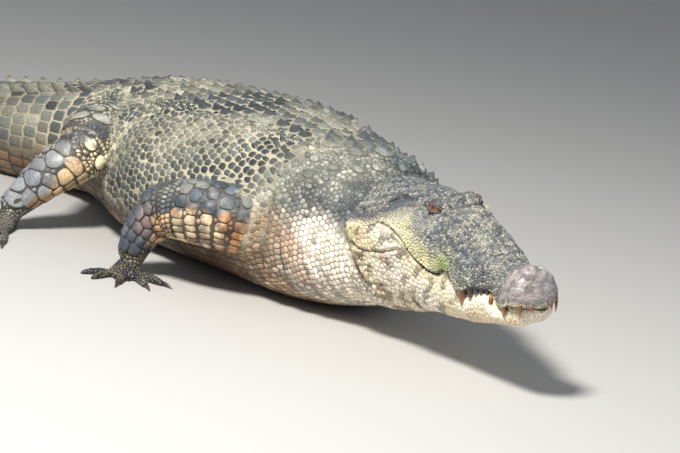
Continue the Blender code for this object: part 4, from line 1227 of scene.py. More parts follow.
def colours_at(told):
    """The animal's markings and the shade painted in its folds, one linear colour for each point, and how wet
    it is there.
    """
    points, is_head, on_limb, x = told["points"], told["is_head"], told["limb"] >= 0, told["head"][:, 0]
    colour = np.where(is_head[:, None], head_colours(told), body_colours(told))
    colour = np.where(on_limb[:, None], limb_colours(told), colour)
    wet = 0.15 + 0.5 * ramp(field(points, 0.12, 51), 0.0, 0.9)
    wet = np.where(is_head, 0.25 + 0.75 * ramp(x, 0.55, 0.60) * ~told["is_jaw"], wet)
    wet = np.where(on_limb, 0.55 + 0.4 * field(points, 0.05, 52), wet)
    # painted shade along the folds and the ear's slit, laid over the markings
    return np.clip(layered(colour, (FOLD_SHADE, painted_fold_shade(told))), 0.004, 0.9), np.clip(wet, 0, 1)


# -------- where the scales stand
SKIN = {}  # the finished hide's tree of faces, its vertices' normals and the tree that finds them


def finder_of(places):
    finder = KDTree(len(places))
    for i, place in enumerate(places.tolist()):
        finder.insert(place, i)
    finder.balance()
    return finder


def read_skin(hide):
    points = read_points(hide.data)
    SKIN["tree"] = BVHTree.FromObject(hide, bpy.context.evaluated_depsgraph_get())
    SKIN.update(finder=finder_of(points), normals=read_normals(hide.data), points=points)


def settle(places, reach=0.05):
    """The nearest places on the hide, their smooth normals, and which of them were near enough."""
    count = len(places)
    settled, normals, found = np.zeros((count, 3)), np.zeros((count, 3)), np.zeros(count, bool)
    for i, place in enumerate(np.asarray(places).tolist()):
        spot = SKIN["tree"].find_nearest(place, reach)[0]
        if spot is not None:
            settled[i], found[i] = spot, True
            normals[i] = SKIN["normals"][SKIN["finder"].find(spot)[1]]
    return settled, normals, found


def seeds(places, normals, told, along_half, across_half, tall, keel=0.0, gap=0.0012, size=0, kind="back"):
    """One row for every scale: where it stands, its half length and width, height, keel and gap."""
    count = len(places)
    full = lambda value: np.broadcast_to(np.asarray(value, float), count).copy()
    aft = told["aft"] - normals * dot(told["aft"], normals)[:, None]
    return dict(
        place=places, normal=normals, aft=unit(aft), a=full(along_half), b=full(across_half), tall=full(tall),
        keel=full(keel), gap=full(gap), size=np.broadcast_to(size, count).astype(int).copy(),
        kind=np.broadcast_to(np.array(kind), count).astype("U12").copy(),
    )


def keep(batch, chosen):
    return {name: values[chosen] for name, values in batch.items()}


def joined(batches):
    return {name: np.concatenate([batch[name] for batch in batches]) for name in batches[0]}


def rows_on_body(first, last, pitch, inner, outer, spread, jitter=0.12, seed=1, brick=True):
    """Scales in crosswise rows; inner and outer give distances from the back's middle line."""
    random = np.random.default_rng(seed)
    places = []
    station, row = first, 0
    while station < last:
        step = spread(station) if callable(spread) else spread
        low, high = inner(station), outer(station)
        count = int((high - low) / step)
        shift = 0.5 * (row % 2) if brick else 0.5
        for side in (-1, 1):
            reach = low + (np.arange(count) + shift) * step + random.normal(0, jitter, count) * step
            at = station + random.normal(0, jitter, count) * step * 0.8
            reach = side * np.clip(reach, 0.001, None)
            places.append(body_point(at, over_back(at, reach)))
        station += pitch(station) if callable(pitch) else pitch
        row += 1
    places = np.concatenate(places)
    settled, normals, found = settle(places, 0.06)
    settled, normals = settled[found], normals[found]
    told = describe(settled)
    mine = on_body(told)
    return settled[mine], normals[mine], keep(told, mine)


# Half the width of the back's shield of large keeled scutes, by station.
SHIELD_EDGE = (
    (0.98, 0.12), (1.15, 0.17), (1.40, 0.25), (1.80, 0.31), (2.15, 0.26), (2.40, 0.19), (2.60, 0.13),
)
# Scutes of the nape and beside it: station, distance from the middle line.
NAPE_LARGE = ((0.985, 0.05), (1.05, 0.028), (1.075, 0.095), (1.125, 0.06))
NAPE_SMALL = ((0.865, 0.05), (0.875, 0.11))
NECK_SMALL = ((0.93, 0.17), (1.02, 0.19), (1.10, 0.24), (0.97, 0.25), (1.13, 0.17))
WARTS = 46


def shield_edge(station):
    return float(along(SHIELD_EDGE, station))


def on_nape(at):
    """The hide at pairs of a station and a distance from the back's middle line."""
    return settle(body_point(at[:, 0], over_back(at[:, 0], at[:, 1])), 0.08)


def back_scales():
    random = np.random.default_rng(11)
    settled, normals, told = rows_on_body(
        1.19, 2.52, 0.064, lambda s: 0.0, shield_edge, 0.052, 0.12, 2, brick=False)
    half = 0.9 + 0.2 * random.random(len(settled))
    edge = np.abs(told["reach"]) / np.array([shield_edge(s) for s in told["station"]])
    keel = 0.0105 + 0.004 * (edge > 0.7) - 0.002 * (edge < 0.3)
    big = seeds(settled, normals, told, 0.030 * half, 0.0230 * half, 0.0048, keel, 0.004, 2, "back")
    at = [(s, side * r) for s, r in NAPE_LARGE + NAPE_SMALL for side in (1, -1)]
    at = np.array(at + [(s, side * r) for s, r in NECK_SMALL for side in (-1, 1)])
    settled, normals, _ = on_nape(at)
    large = np.arange(len(at)) < 2 * len(NAPE_LARGE)
    neck = seeds(
        settled, normals, describe(settled), np.where(large, 0.034, 0.022), np.where(large, 0.030, 0.015),
        np.where(large, 0.007, 0.006), np.where(large, 0.018, 0.013), 0.004, 2, "neck",
    )
    station, reach = random.uniform(0.88, 1.32, WARTS), random.uniform(0.14, 0.36, WARTS)
    settled, normals, found = on_nape(np.column_stack([station, reach * random.choice([-1, 1], WARTS)]))
    wart = seeds(settled, normals, describe(settled), 0.014, 0.0095, 0.006, 0.007, 0.003, 2, "neck")
    return [big, neck, keep(wart, found)]


def tail_rows():
    """The tail's whorls: one ring of oblong scales after another, in step with the crest's blades."""
    batches = []
    for station, pitch, _ in whorls():
        girth = float(half_girth(station))
        step = max(0.6 * pitch, 0.018)
        count = max(3, int(girth / step))
        reach = (np.arange(count) + 0.5) / count * girth
        for side in (-1, 1):
            at = np.full(count, station)
            settled, normals, found = settle(body_point(at, over_back(at, side * reach)), 0.05)
            top = reach < 0.25 * girth
            batch = seeds(
                settled, normals, describe(settled), pitch * 0.5, girth / count * 0.5,
                np.where(top, 0.004, 0.0032),
                np.where(reach < 0.6 * girth, 0.0028, 0.0) * (station < 3.6), 0.0022, 1, "tail",
            )
            batches.append(keep(batch, found))
    return batches


TAIL_START, TAIL_END, CRESTS_MEET = 2.53, 4.84, 3.78


def whorls():
    """(station, length, height) of every whorl of the tail."""
    rows, station = [], TAIL_START
    while station < TAIL_END:
        share = (station - TAIL_START) / (TAIL_END - TAIL_START)
        pitch = 0.074 - 0.028 * share
        if station < CRESTS_MEET:
            height = 0.012 + 0.062 * ((station - TAIL_START) / (CRESTS_MEET - TAIL_START)) ** 1.5
        else:
            height = 0.086 - 0.062 * ((station - CRESTS_MEET) / (TAIL_END - CRESTS_MEET)) ** 1.5
        rows.append((station, pitch, height))
        station += pitch
    return rows


def throat_pitch(station):
    return along(((0.74, 0.0140), (0.90, 0.0155), (1.00, 0.0215), (1.12, 0.0290)), station)


def girth_share(share):
    """A share of the way from the back's middle line down to the belly's, as a length at a station."""
    return lambda s: share * float(half_girth(s))


def flank_scales():
    flank = rows_on_body(
        1.10, 2.52, 0.0330, lambda s: shield_edge(s) + 0.028, girth_share(0.60), 0.026, 0.16, 3)
    belly = rows_on_body(1.12, 2.52, 0.0360, girth_share(0.61), girth_share(1.0), 0.031, 0.03, 4, False)
    throat = rows_on_body(0.74, 1.12, throat_pitch, girth_share(0.38), girth_share(1.0), 0.0190, 0.05, 5)
    hold = seeds(*flank, 0.0170, 0.0125, 0.0034, 0.0012, 0.0019, 1, "flank")
    under = seeds(*belly, 0.0175, 0.0150, 0.0022, 0.0, 0.0016, 1, "belly")
    gular = seeds(*throat, 0.5 * throat_pitch(throat[2]["station"]), 0.0098, 0.0020, 0.0, 0.0014, 1, "neck")
    return [hold, under, gular]


def limb_scales(index):
    """Crosswise bands round a leg; the plates are widest on its upper and outer side."""
    name = LIMB_NAMES[index]
    path, hind = LIMB_PATHS[name], "hind" in name
    _, level, up = limb_axes(path)
    lengths = np.concatenate([[0], np.cumsum(np.linalg.norm(np.diff(path, axis=0), axis=1))])
    bend = (1.60, 1.92) if hind else (1.60, 2.05)
    rows, at, row = [], 0.03, 0
    while at < lengths[-1] - 0.01:
        i = int(np.searchsorted(lengths, at))
        t = i / PATH_STEPS * 4
        small = bend[0] < t < bend[1]
        pitch = 0.020 if small else (0.047 if hind else 0.041)
        girth = 0.10 if t < 2 else 0.075
        phi = -math.pi / 2 + 0.11 * (row % 2)
        while phi < math.pi * 1.5 - 0.06:
            upper = max(0.0, (math.sin(phi) + 0.25) / 1.25) ** 0.7
            width = 0.018 if small else ((0.027 + 0.070 * upper) if hind else (0.024 + 0.028 * upper))
            half_turn = width / girth / 2
            phi += half_turn
            way = level[i] * math.cos(phi) + up[i] * math.sin(phi)
            spot = SKIN["tree"].ray_cast(Vector(path[i]), Vector(way), 0.26)[0]
            if spot is not None:
                rows.append((spot, SKIN["normals"][SKIN["finder"].find(spot)[1]], width, pitch))
            phi += half_turn
        at += pitch
        row += 1
    hits, normals, wide, pitches = (np.array(column) for column in zip(*rows))
    told = describe(hits)
    good = (told["limb"] == index) & ~told["foot"] & (hits[:, 2] > 0.02)
    wide = wide[good]
    return seeds(
        hits[good], normals[good], keep(told, good), pitches[good] * 0.5, wide * 0.5,
        np.where(wide > 0.03, 0.0044, 0.0030), np.where(wide > 0.035, 0.0010, 0.0), 0.0022,
        np.where(wide > 0.030, 3, 1), "hind_leg" if hind else "fore_leg",
    )


NOSE, CHIN = 0.56, 0.30  # places along the head where finer granules begin


def on_face(told):
    return told["is_head"] & ~told["is_jaw"]


def on_trunk(told, first=1.20):
    return on_body(told) & (told["station"] >= first) & (told["station"] < 2.56)


def on_nose(told):
    """The bare, leathery bulb of the nose."""
    return (told["head"][:, 0] > 0.578) & (told["lip"] > 0.034) & told["is_head"]


def on_ear(told):
    """The smooth flap of the ear, with no granules."""
    return ear_oval(told["head"][:, 0], told["head"][:, 2]) < 1


# Loose granules: name, spacing, height, and which parts of the hide they cover.
GRANULES = (
    ("head", 0.0076, 0.0008, lambda told: on_face(told) & (told["head"][:, 0] < NOSE) & ~on_ear(told)),
    ("head", 0.0058, 0.0003, lambda told: on_face(told) & (told["head"][:, 0] >= NOSE) & ~on_nose(told)),
    ("jaw", 0.0130, 0.0004, lambda told: told["is_jaw"] & (told["head"][:, 0] < CHIN)),
    ("jaw", 0.0120, 0.0003, lambda told: told["is_jaw"] & (told["head"][:, 0] >= CHIN)),
    ("foot", 0.0090, 0.0015, lambda told: told["foot"]),
    ("fore_leg", 0.0110, 0.0022, lambda told: (told["limb"] >= 0) & ~told["foot"]),
    ("neck", 0.0125, 0.0024, lambda told: on_body(told) & (told["station"] < 1.20)),
    ("back", 0.0140, 0.0024, lambda told: on_trunk(told) & (told["round"] < 0.56)),
    ("tail", 0.0160, 0.0020, lambda told: told["station"] >= 2.56),
    ("belly", 0.0200, 0.0018, lambda told: on_trunk(told, 0.0) & (told["round"] > 0.56)),
)


def node_group(name, inputs):
    """An empty tree of geometry nodes with a mesh in, a mesh out, and the named inputs."""
    tree = bpy.data.node_groups.new(name, "GeometryNodeTree")
    tree.interface.new_socket("Geometry", in_out="INPUT", socket_type="NodeSocketGeometry")
    for label, kind in inputs:
        tree.interface.new_socket(label, in_out="INPUT", socket_type=kind)
    tree.interface.new_socket("Geometry", in_out="OUTPUT", socket_type="NodeSocketGeometry")
    return tree, tree.nodes.new("NodeGroupInput"), tree.nodes.new("NodeGroupOutput")


def finish_tree(tree, geometry, source, out):
    """Realizes instances and sets the material, as the last steps of a tree."""
    real = tree.nodes.new("GeometryNodeRealizeInstances")
    paint_node = tree.nodes.new("GeometryNodeSetMaterial")
    tree.links.new(geometry, real.inputs["Geometry"])
    tree.links.new(real.outputs["Geometry"], paint_node.inputs["Geometry"])
    tree.links.new(source.outputs["Material"], paint_node.inputs["Material"])
    tree.links.new(paint_node.outputs["Geometry"], out.inputs["Geometry"])


def add_tree(target, tree, values):
    step = target.modifiers.new(tree.name, "NODES")
    sockets = {item.name: item.identifier for item in tree.interface.items_tree if item.in_out == "INPUT"}
    step.node_group = tree
    for label, value in values.items():
        step[sockets[label]] = value
    return step


def spreading_tree():
    """Granules' places: points spread over the marked part of a hide, a spacing or more apart."""
    tree, source, out = node_group("spread granules", (
        ("Spacing", "NodeSocketFloat"), ("Crowding", "NodeSocketFloat"),
        ("Seed", "NodeSocketInt"), ("Material", "NodeSocketMaterial"),
    ))
    spread = tree.nodes.new("GeometryNodeDistributePointsOnFaces")
    spread.distribute_method = "POISSON"
    mark = tree.nodes.new("GeometryNodeInputNamedAttribute")
    mark.inputs["Name"].default_value = "here"
    turn = tree.nodes.new("GeometryNodePointsToVertices")
    link = tree.links.new
    link(source.outputs["Geometry"], spread.inputs["Mesh"])
    link(source.outputs["Spacing"], spread.inputs["Distance Min"])
    link(source.outputs["Crowding"], spread.inputs["Density Max"])
    link(source.outputs["Seed"], spread.inputs["Seed"])
    link(mark.outputs["Attribute"], spread.inputs["Density Factor"])
    link(spread.outputs["Points"], turn.inputs["Points"])
    finish_tree(tree, turn.outputs["Mesh"], source, out)
    return tree


def laying_tree():
    """Lays flat scales on the hide, each point lifted along the hide's normal by its own height."""
    sockets = (("Hide", "NodeSocketObject"), ("Material", "NodeSocketMaterial"))
    tree, source, out = node_group("lay on the hide", sockets)
    link = tree.links.new
    hide = tree.nodes.new("GeometryNodeObjectInfo")
    hide.transform_space = "RELATIVE"
    link(source.outputs["Hide"], hide.inputs["Object"])
    found = []
    for kind in ("GeometryNodeInputPosition", "GeometryNodeInputNormal"):
        sample = tree.nodes.new("GeometryNodeSampleNearestSurface")
        sample.data_type = "FLOAT_VECTOR"
        value_in, value_out = (
            next(socket for socket in side if socket.name == "Value" and socket.enabled)
            for side in (sample.inputs, sample.outputs))
        link(hide.outputs["Geometry"], sample.inputs["Mesh"])
        link(tree.nodes.new(kind).outputs[0], value_in)
        found.append(value_out)
    lift = tree.nodes.new("GeometryNodeInputNamedAttribute")
    lift.inputs["Name"].default_value = "lift"
    raised = tree.nodes.new("ShaderNodeVectorMath")
    raised.operation = "SCALE"
    straight = tree.nodes.new("ShaderNodeVectorMath")
    straight.operation = "NORMALIZE"
    total = tree.nodes.new("ShaderNodeVectorMath")
    place = tree.nodes.new("GeometryNodeSetPosition")
    link(found[1], straight.inputs[0])
    link(straight.outputs[0], raised.inputs[0])
    link(lift.outputs["Attribute"], raised.inputs["Scale"])
    link(found[0], total.inputs[0])
    link(raised.outputs[0], total.inputs[1])
    link(source.outputs["Geometry"], place.inputs["Geometry"])
    link(total.outputs[0], place.inputs["Position"])
    finish_tree(tree, place.outputs["Geometry"], source, out)
    return tree


def granule_seeds(hide, told, paint_with):
    """Every patch of granules, spread over its own part of the hide."""
    tree = spreading_tree()
    hide.data.attributes.new("here", "FLOAT", "POINT")
    batches = []
    for number, (kind, spacing, tall, where) in enumerate(GRANULES):
        hide.data.attributes["here"].data.foreach_set("value", where(told).astype(np.float32))
        add_tree(hide, tree, {
            "Spacing": spacing, "Crowding": 5.0 / spacing**2, "Seed": number + 3, "Material": paint_with,
        })
        mesh = baked(hide)
        hide.modifiers.clear()
        places, normals, _ = settle(read_points(mesh), 0.02)
        bpy.data.meshes.remove(mesh)
        half, gap = spacing * 0.66, spacing * 0.08
        batches.append(seeds(places, normals, describe(places), half, half, tall, 0.0, gap, 0, kind))
    hide.data.attributes.remove(hide.data.attributes["here"])
    return joined(batches)


def clear_of(large, small):
    """The small scales whose middles lie outside every large one."""
    finder = finder_of(large["place"])
    free = np.ones(len(small["place"]), bool)
    for i, place in enumerate(small["place"].tolist()):
        for _, j, _ in finder.find_n(place, 4):
            away = small["place"][i] - large["place"][j]
            across = np.cross(large["normal"][j], large["aft"][j])
            share = math.hypot(away @ large["aft"][j] / large["a"][j], away @ across / large["b"][j])
            if share < 1.0 + small["a"][i] / (large["a"][j] + large["b"][j]) * 1.7:
                free[i] = False
                break
    return keep(small, free)


def apart(batch, share=0.62):
    """Leaves out scales that crowd an earlier one."""
    finder = finder_of(batch["place"])
    kept = np.ones(len(batch["place"]), bool)
    reach = (batch["a"] + batch["b"]) / 2
    for i, place in enumerate(batch["place"].tolist()):
        if not kept[i]:
            continue
        for _, j, distance in finder.find_range(place, reach[i] * 2 * share):
            if j > i and distance < (reach[i] + reach[j]) * share:
                kept[j] = False
    return keep(batch, kept)


# -------- the scales' own shape
ROUNDS = {0: 8, 1: 10, 2: 16, 3: 16}  # corners round a scale of each size
RINGS = {  # share of the outline, share of the height, how much of the keel
    0: ((1.0, -0.9, 0.0), (0.88, 0.70, 0.0)),
    1: ((1.0, -0.7, 0.0), (0.95, 0.50, 0.0), (0.74, 0.92, 0.35)),
    3: ((1.0, -0.7, 0.0), (0.97, 0.55, 0.0), (0.86, 0.92, 0.35)),
    2: ((1.0, -0.5, 0.0), (0.97, 0.45, 0.10), (0.84, 0.85, 0.75), (0.62, 1.0, 1.0), (0.34, 1.0, 1.0)),
}
NEIGHBOURS = 18
BENT = ("fore_leg", "hind_leg", "tail")  # where wide scales bend round the hide


SQUARE_KINDS = ("belly", "neck", "tail", "fore_leg", "hind_leg")
ROOM = np.array((1.26, 1.26, 1.12, 1.40))  # how far a scale of each size grows if nothing stops it
SHARPNESS = 14.0  # how sharp the corners are where limits meet


def outline_radii(batch, chosen, neighbours, angles):
    """How far each scale reaches each way: a rounded shape, cut short half way to its neighbours."""
    place, aft, normal = batch["place"][chosen], batch["aft"][chosen], batch["normal"][chosen]
    across, size = np.cross(normal, aft), batch["size"][chosen]
    way = np.stack([np.cos(angles), np.sin(angles)])
    a, b = batch["a"][chosen][:, None], batch["b"][chosen][:, None]
    power = np.where(np.isin(batch["kind"][chosen], SQUARE_KINDS) & (size > 0), 5.0, 2.6)[:, None]
    own = (np.abs(way[0] / a) ** power + np.abs(way[1] / b) ** power) ** (-1 / power) * ROOM[size][:, None]
    total = own ** -SHARPNESS
    for column in range(1, NEIGHBOURS):
        other = neighbours[chosen, column]
        away, lean, rise = batch["place"][other] - place, batch["aft"][other], batch["normal"][other]
        flat = np.stack([dot(away, aft), dot(away, across)], 1)
        turn = flat / np.maximum(np.linalg.norm(flat, axis=1), 1e-6)[:, None]
        half_bend = np.arccos(np.clip(dot(normal, rise), -1, 1)) / 2
        distance = np.linalg.norm(away, axis=1) / np.sinc(np.minimum(half_bend, 1.2) / math.pi)
        mine = 1 / np.hypot(turn[:, 0] / a[:, 0], turn[:, 1] / b[:, 0])
        facing = np.stack([dot(away, lean), dot(away, np.cross(rise, lean))], 1)
        facing /= np.maximum(np.linalg.norm(facing, axis=1), 1e-6)[:, None]
        theirs = 1 / np.hypot(facing[:, 0] / batch["a"][other], facing[:, 1] / batch["b"][other])
        share = mine / (mine + theirs)
        toward = turn @ way
        limit = (share * distance)[:, None] / np.maximum(toward, 1e-3)
        total += np.where(toward > 0.05, np.maximum(limit, 1e-4) ** -SHARPNESS, 0.0)
    radius = total ** (-1 / SHARPNESS) - batch["gap"][chosen][:, None] / 2
    return np.maximum(radius, 0.0012), place, aft, across


def scale_triangles(rounds, rings):
    """Faces of one scale: bands between its rings, a fan on top and a fan below."""
    faces = []
    for ring in range(rings - 1):
        for i in range(rounds):
            j = (i + 1) % rounds
            low, high = ring * rounds, (ring + 1) * rounds
            faces += [(low + i, low + j, high + j), (low + i, high + j, high + i)]
    last = (rings - 1) * rounds
    faces += [(last + i, last + (i + 1) % rounds, rings * rounds) for i in range(rounds)]
    faces += [(0, i + 1, i) for i in range(1, rounds - 1)]
    return np.array(faces)


def keel_rise(u, v):
    """A ridge along the scale's middle that climbs aft and drops at the rear."""
    return np.exp(-((v / 0.27) ** 2)) * (0.30 + 0.70 * ramp(u, -0.9, 0.6)) * ramp(-u, -1.04, -0.74)


def walked(place, way, reach, steps=3):
    """Where one gets to from each place by going that far over the hide, bending with it."""
    shape = np.broadcast_shapes(place.shape, way.shape)
    spot, heading = np.broadcast_to(place, shape).reshape(-1, 3), np.broadcast_to(way, shape).reshape(-1, 3)
    stride = np.broadcast_to(reach, shape[:-1]).reshape(-1, 1) / steps
    for _ in range(steps):
        settled, normals, found = settle(spot + heading * stride, 0.05)
        spot = np.where(found[:, None], settled, spot)
        heading = unit(heading - normals * dot(heading, normals)[:, None])
    return spot.reshape(shape)


def scale_verts(batch, chosen, size, neighbours, random):
    """Flat places, heights, own coordinates and edge shares of every vertex of the chosen scales."""
    rounds = ROUNDS[size]
    angles = np.arange(rounds) / rounds * 2 * math.pi + math.pi / rounds * (size == 0)
    radius, place, aft, across = outline_radii(batch, chosen, neighbours, angles)
    tall, keel, a, b = (batch[name][chosen][:, None] for name in ("tall", "keel", "a", "b"))
    tall = tall * random.uniform(0.75, 1.25, (len(chosen), 1))
    lean = 0.35 * tall
    flats, lifts, owns, edges = [], [], [], []
    for share, level, keeled in (*RINGS[size], (0.0, 1.0, 1.0)):
        corner = angles if share else np.zeros(1)
        reach = radius * share if share else np.zeros((len(chosen), 1))
        u, v = np.cos(corner) * reach, np.sin(corner) * reach
        if share and batch["kind"][chosen[0]] in BENT and size:
            way = aft[:, None] * np.cos(corner)[:, None] + across[:, None] * np.sin(corner)[:, None]
            flats.append(walked(place[:, None], way, reach))
        else:
            flats.append(place[:, None] + aft[:, None] * u[..., None] + across[:, None] * v[..., None])
        rise = np.where(level > 0, tall * level + keel * keel_rise(u / a, v / b) * max(keeled, 0.0), -0.0012)
        lifts.append(rise + (lean * np.clip(u / a, -1, 1) * level if level > 0 else 0.0))
        owns.append(np.stack([u / a, v / b], -1) * np.ones((len(chosen), 1, 1)))
        edges.append(np.full(u.shape, 1.0 if share == 1.0 else (0.5 if share > 0.9 else 0.0)))
    return [np.concatenate(parts, 1) for parts in (flats, lifts, owns, edges)]


def unwrapped(told, kind):
    """The hide's own flat layout: length and girth of the body, the head, each leg and each foot."""
    if kind in ("head", "jaw"):
        return np.stack([told["head"][:, 0], np.arctan2(told["head"][:, 1], told["head"][:, 2]) * 0.1], 1)
    if kind in ("fore_leg", "hind_leg"):
        return np.stack([told["limb"] * 1.2 + told["t"] / 4, told["phi"] / (2 * math.pi)], 1)
    if kind == "foot":
        return np.stack([told["points"][:, 0] + told["limb"] * 0.8, told["points"][:, 1]], 1)
    return np.stack([told["station"], told["angle"] * 0.2], 1)


def mesh_of(name, points, faces):
    """A mesh of triangles."""
    mesh = bpy.data.meshes.new(name)
    mesh.vertices.add(len(points))
    mesh.vertices.foreach_set("co", np.ascontiguousarray(points, np.float32).ravel())
    mesh.loops.add(len(faces) * 3)
    mesh.loops.foreach_set("vertex_index", np.ascontiguousarray(faces, np.int32).ravel())
    mesh.polygons.add(len(faces))
    mesh.polygons.foreach_set("loop_start", np.arange(len(faces), dtype=np.int32) * 3)
    mesh.update(calc_edges=True)
    return mesh


def give(mesh, name, values):
    """A value on every vertex, as a number or a colour."""
    kind, key = ("FLOAT_COLOR", "color") if values.ndim == 2 else ("FLOAT", "value")
    if values.ndim == 2:
        values = np.column_stack([values, np.ones(len(values))])
    mesh.attributes.new(name, kind, "POINT").data.foreach_set(key, values.astype(np.float32).ravel())


def give_map(mesh, places):
    """The map that the coat is baked through: a flat place for every vertex."""
    corner = np.zeros(len(mesh.loops), np.int32)
    mesh.loops.foreach_get("vertex_index", corner)
    layer = mesh.uv_layers.new(name="OFBake")
    layer.data.foreach_set("uv", np.asarray(places)[corner].astype(np.float32).ravel())


GAP_MUD, LEG_SEAM, KEEL_SLATE = (0.46, 0.43, 0.31), (0.075, 0.070, 0.058), (0.040, 0.048, 0.062)
PATCH = 0.003  # how far one scale reaches on the map


def gap_colours(told, colour):
    """The hide between scales: dried mud on the back and flanks, dark on the underside and legs."""
    x, s = told["head"][:, 0], told["station"]
    upper = on_body(told) * ramp(-told["round"], -0.62, -0.54) * ramp(s, 0.95, 1.15) * ramp(-s, -3.3, -2.6)
    front = ramp(-s, -1.05, -0.95)[:, None]
    mud = upper * (0.85 + 0.3 * field(told["points"], 0.10, 61))
    gap = layered(colour * (0.35 + 0.20 * front), (GAP_MUD, mud))
    top = ramp(np.sin(told["phi"]), -0.1, 0.5) * ~told["foot"]
    leg = colour * 0.16 * (1 - top)[:, None] + (np.array(LEG_SEAM) * top[:, None])
    gap = np.where((told["limb"] >= 0)[:, None], leg, gap)
    thin = np.where(on_nose(told) | on_ear(told), 1.0, 0.55 + 0.2 * ramp(x, 0.55, 0.60))
    thin = np.where(told["is_jaw"], 0.62 + 0.26 * ramp(x, 0.20, 0.34), thin)
    return np.where(told["is_head"][:, None], colour * thin[:, None], gap)


def scale_tones(told, random):
    """Lighter and darker scales, most unlike each other on the back, flanks and legs."""
    spread = np.where(told["limb"] >= 0, 0.20, 0.30)
    spread = np.where(told["is_head"], np.where(told["is_jaw"], 0.05, 0.12), spread)
    tone = np.exp(random.normal(0, 1, len(spread)) * spread)
    flank = on_body(told) & (told["station"] > 1.1) & (told["round"] < 0.60)
    return np.where(flank, tone * 0.66, tone)


def scale_colours(told, tones, flat, lift, edge, everywhere, keeled):
    """Colour and wetness of every vertex, from the scale's middle or from everywhere on it."""
    at = describe(flat.reshape(-1, 3)) if everywhere else told
    colour, wet = colours_at(at)
    gap = gap_colours(at, colour)
    shape = flat.shape if everywhere else (len(flat), 1, 3)
    colour, gap = colour.reshape(shape) * tones[:, None, None], gap.reshape(shape)
    crest = ramp(lift, 0.008, 0.018) * keeled
    blend = colour * (1 - edge[..., None]) + gap * edge[..., None]
    blend = blend + (np.array(KEEL_SLATE) - blend) * 0.85 * crest[..., None]
    return blend.reshape(-1, 3), (wet.reshape(shape[:2]) * np.ones(flat.shape[:2])).ravel()


def above_floor(piece, height):
    places = read_points(piece.data)
    places[:, 2] = np.maximum(places[:, 2], height)
    write_points(piece.data, places)


def coat_piece(kind, batch, placed, neighbours, tree, hide, paint_with):
    """All scales of one part of the body as one mesh, laid on the hide."""
    random = np.random.default_rng(len(kind) * 7 + 1)
    mine = np.nonzero(batch["kind"] == kind)[0]
    layout = unwrapped(keep(placed, mine), kind)
    low, high = layout.min(0), layout.max(0)
    layout = 0.01 + 0.98 * (layout - low) / np.maximum(high - low, 1e-6)
    parts, start = [], 0
    for size in ROUNDS:
        chosen = mine[batch["size"][mine] == size]
        if not len(chosen):
            continue
        flat, lift, own, edge = scale_verts(batch, chosen, size, neighbours, random)
        told = keep(placed, chosen)
        tones, everywhere = scale_tones(told, random), kind in ("fore_leg", "hind_leg") and size > 0
        colour, wet = scale_colours(told, tones, flat, lift, edge, everywhere, size == 2)
        faces = start + np.arange(len(chosen))[:, None, None] * flat.shape[1]
        faces = faces + scale_triangles(ROUNDS[size], len(RINGS[size]))
        corner = layout[np.searchsorted(mine, chosen)][:, None] + PATCH / 2 * np.clip(own, -1, 1)
        flat, faces, corner = flat.reshape(-1, 3), faces.reshape(-1, 3), corner.reshape(-1, 2)
        parts.append((flat, faces, lift.ravel(), colour, wet, corner))
        start += lift.size
    points, faces, lifts, colours, wets, corners = (np.concatenate(column) for column in zip(*parts))
    mesh = mesh_of(f"coat_{kind}", points, faces)
    give(mesh, "lift", lifts)
    give(mesh, "hide_colour", colours)
    give(mesh, "wet", wets)
    give_map(mesh, corners)
    mesh.shade_smooth()
    piece = new_object(f"coat_{kind}", mesh)
    add_tree(piece, tree, {"Hide": hide, "Material": paint_with})
    take_modifiers(piece)
    above_floor(piece, 0.0003)
    piece.data.attributes.remove(piece.data.attributes["lift"])
    return piece


def nearest_neighbours(places):
    finder = finder_of(places)
    return np.array([[found[1] for found in finder.find_n(place, NEIGHBOURS)] for place in places.tolist()])


def make_coat(hide, told, paint_with):
    structured = [*back_scales(), *tail_rows(), *(limb_scales(i) for i in range(len(LIMBS))), *flank_scales()]
    structured = apart(joined(structured), 0.60)
    batch = joined([structured, clear_of(structured, granule_seeds(hide, told, paint_with))])
    # no small scales where shade is painted along the folds, so that the dark line shows
    batch = keep(batch, (painted_fold_shade(describe(batch["place"])) < 0.38) | (batch["size"] > 1))
    placed, neighbours, tree = describe(batch["place"]), nearest_neighbours(batch["place"]), laying_tree()
    kinds = np.unique(batch["kind"]).tolist()
    return [coat_piece(kind, batch, placed, neighbours, tree, hide, paint_with) for kind in kinds]


# -------- materials
def material(name, roughness, coat=0.0):
    made = bpy.data.materials.new(name)
    made.use_nodes = True
    shader = made.node_tree.nodes["Principled BSDF"]
    shader.inputs["Roughness"].default_value = roughness
    shader.inputs["Coat Weight"].default_value = coat
    return made, made.node_tree, shader


def node(tree, kind, **inputs):
    made = tree.nodes.new(kind)
    for label, value in inputs.items():
        made.inputs[label.replace("_", " ")].default_value = value
    return made


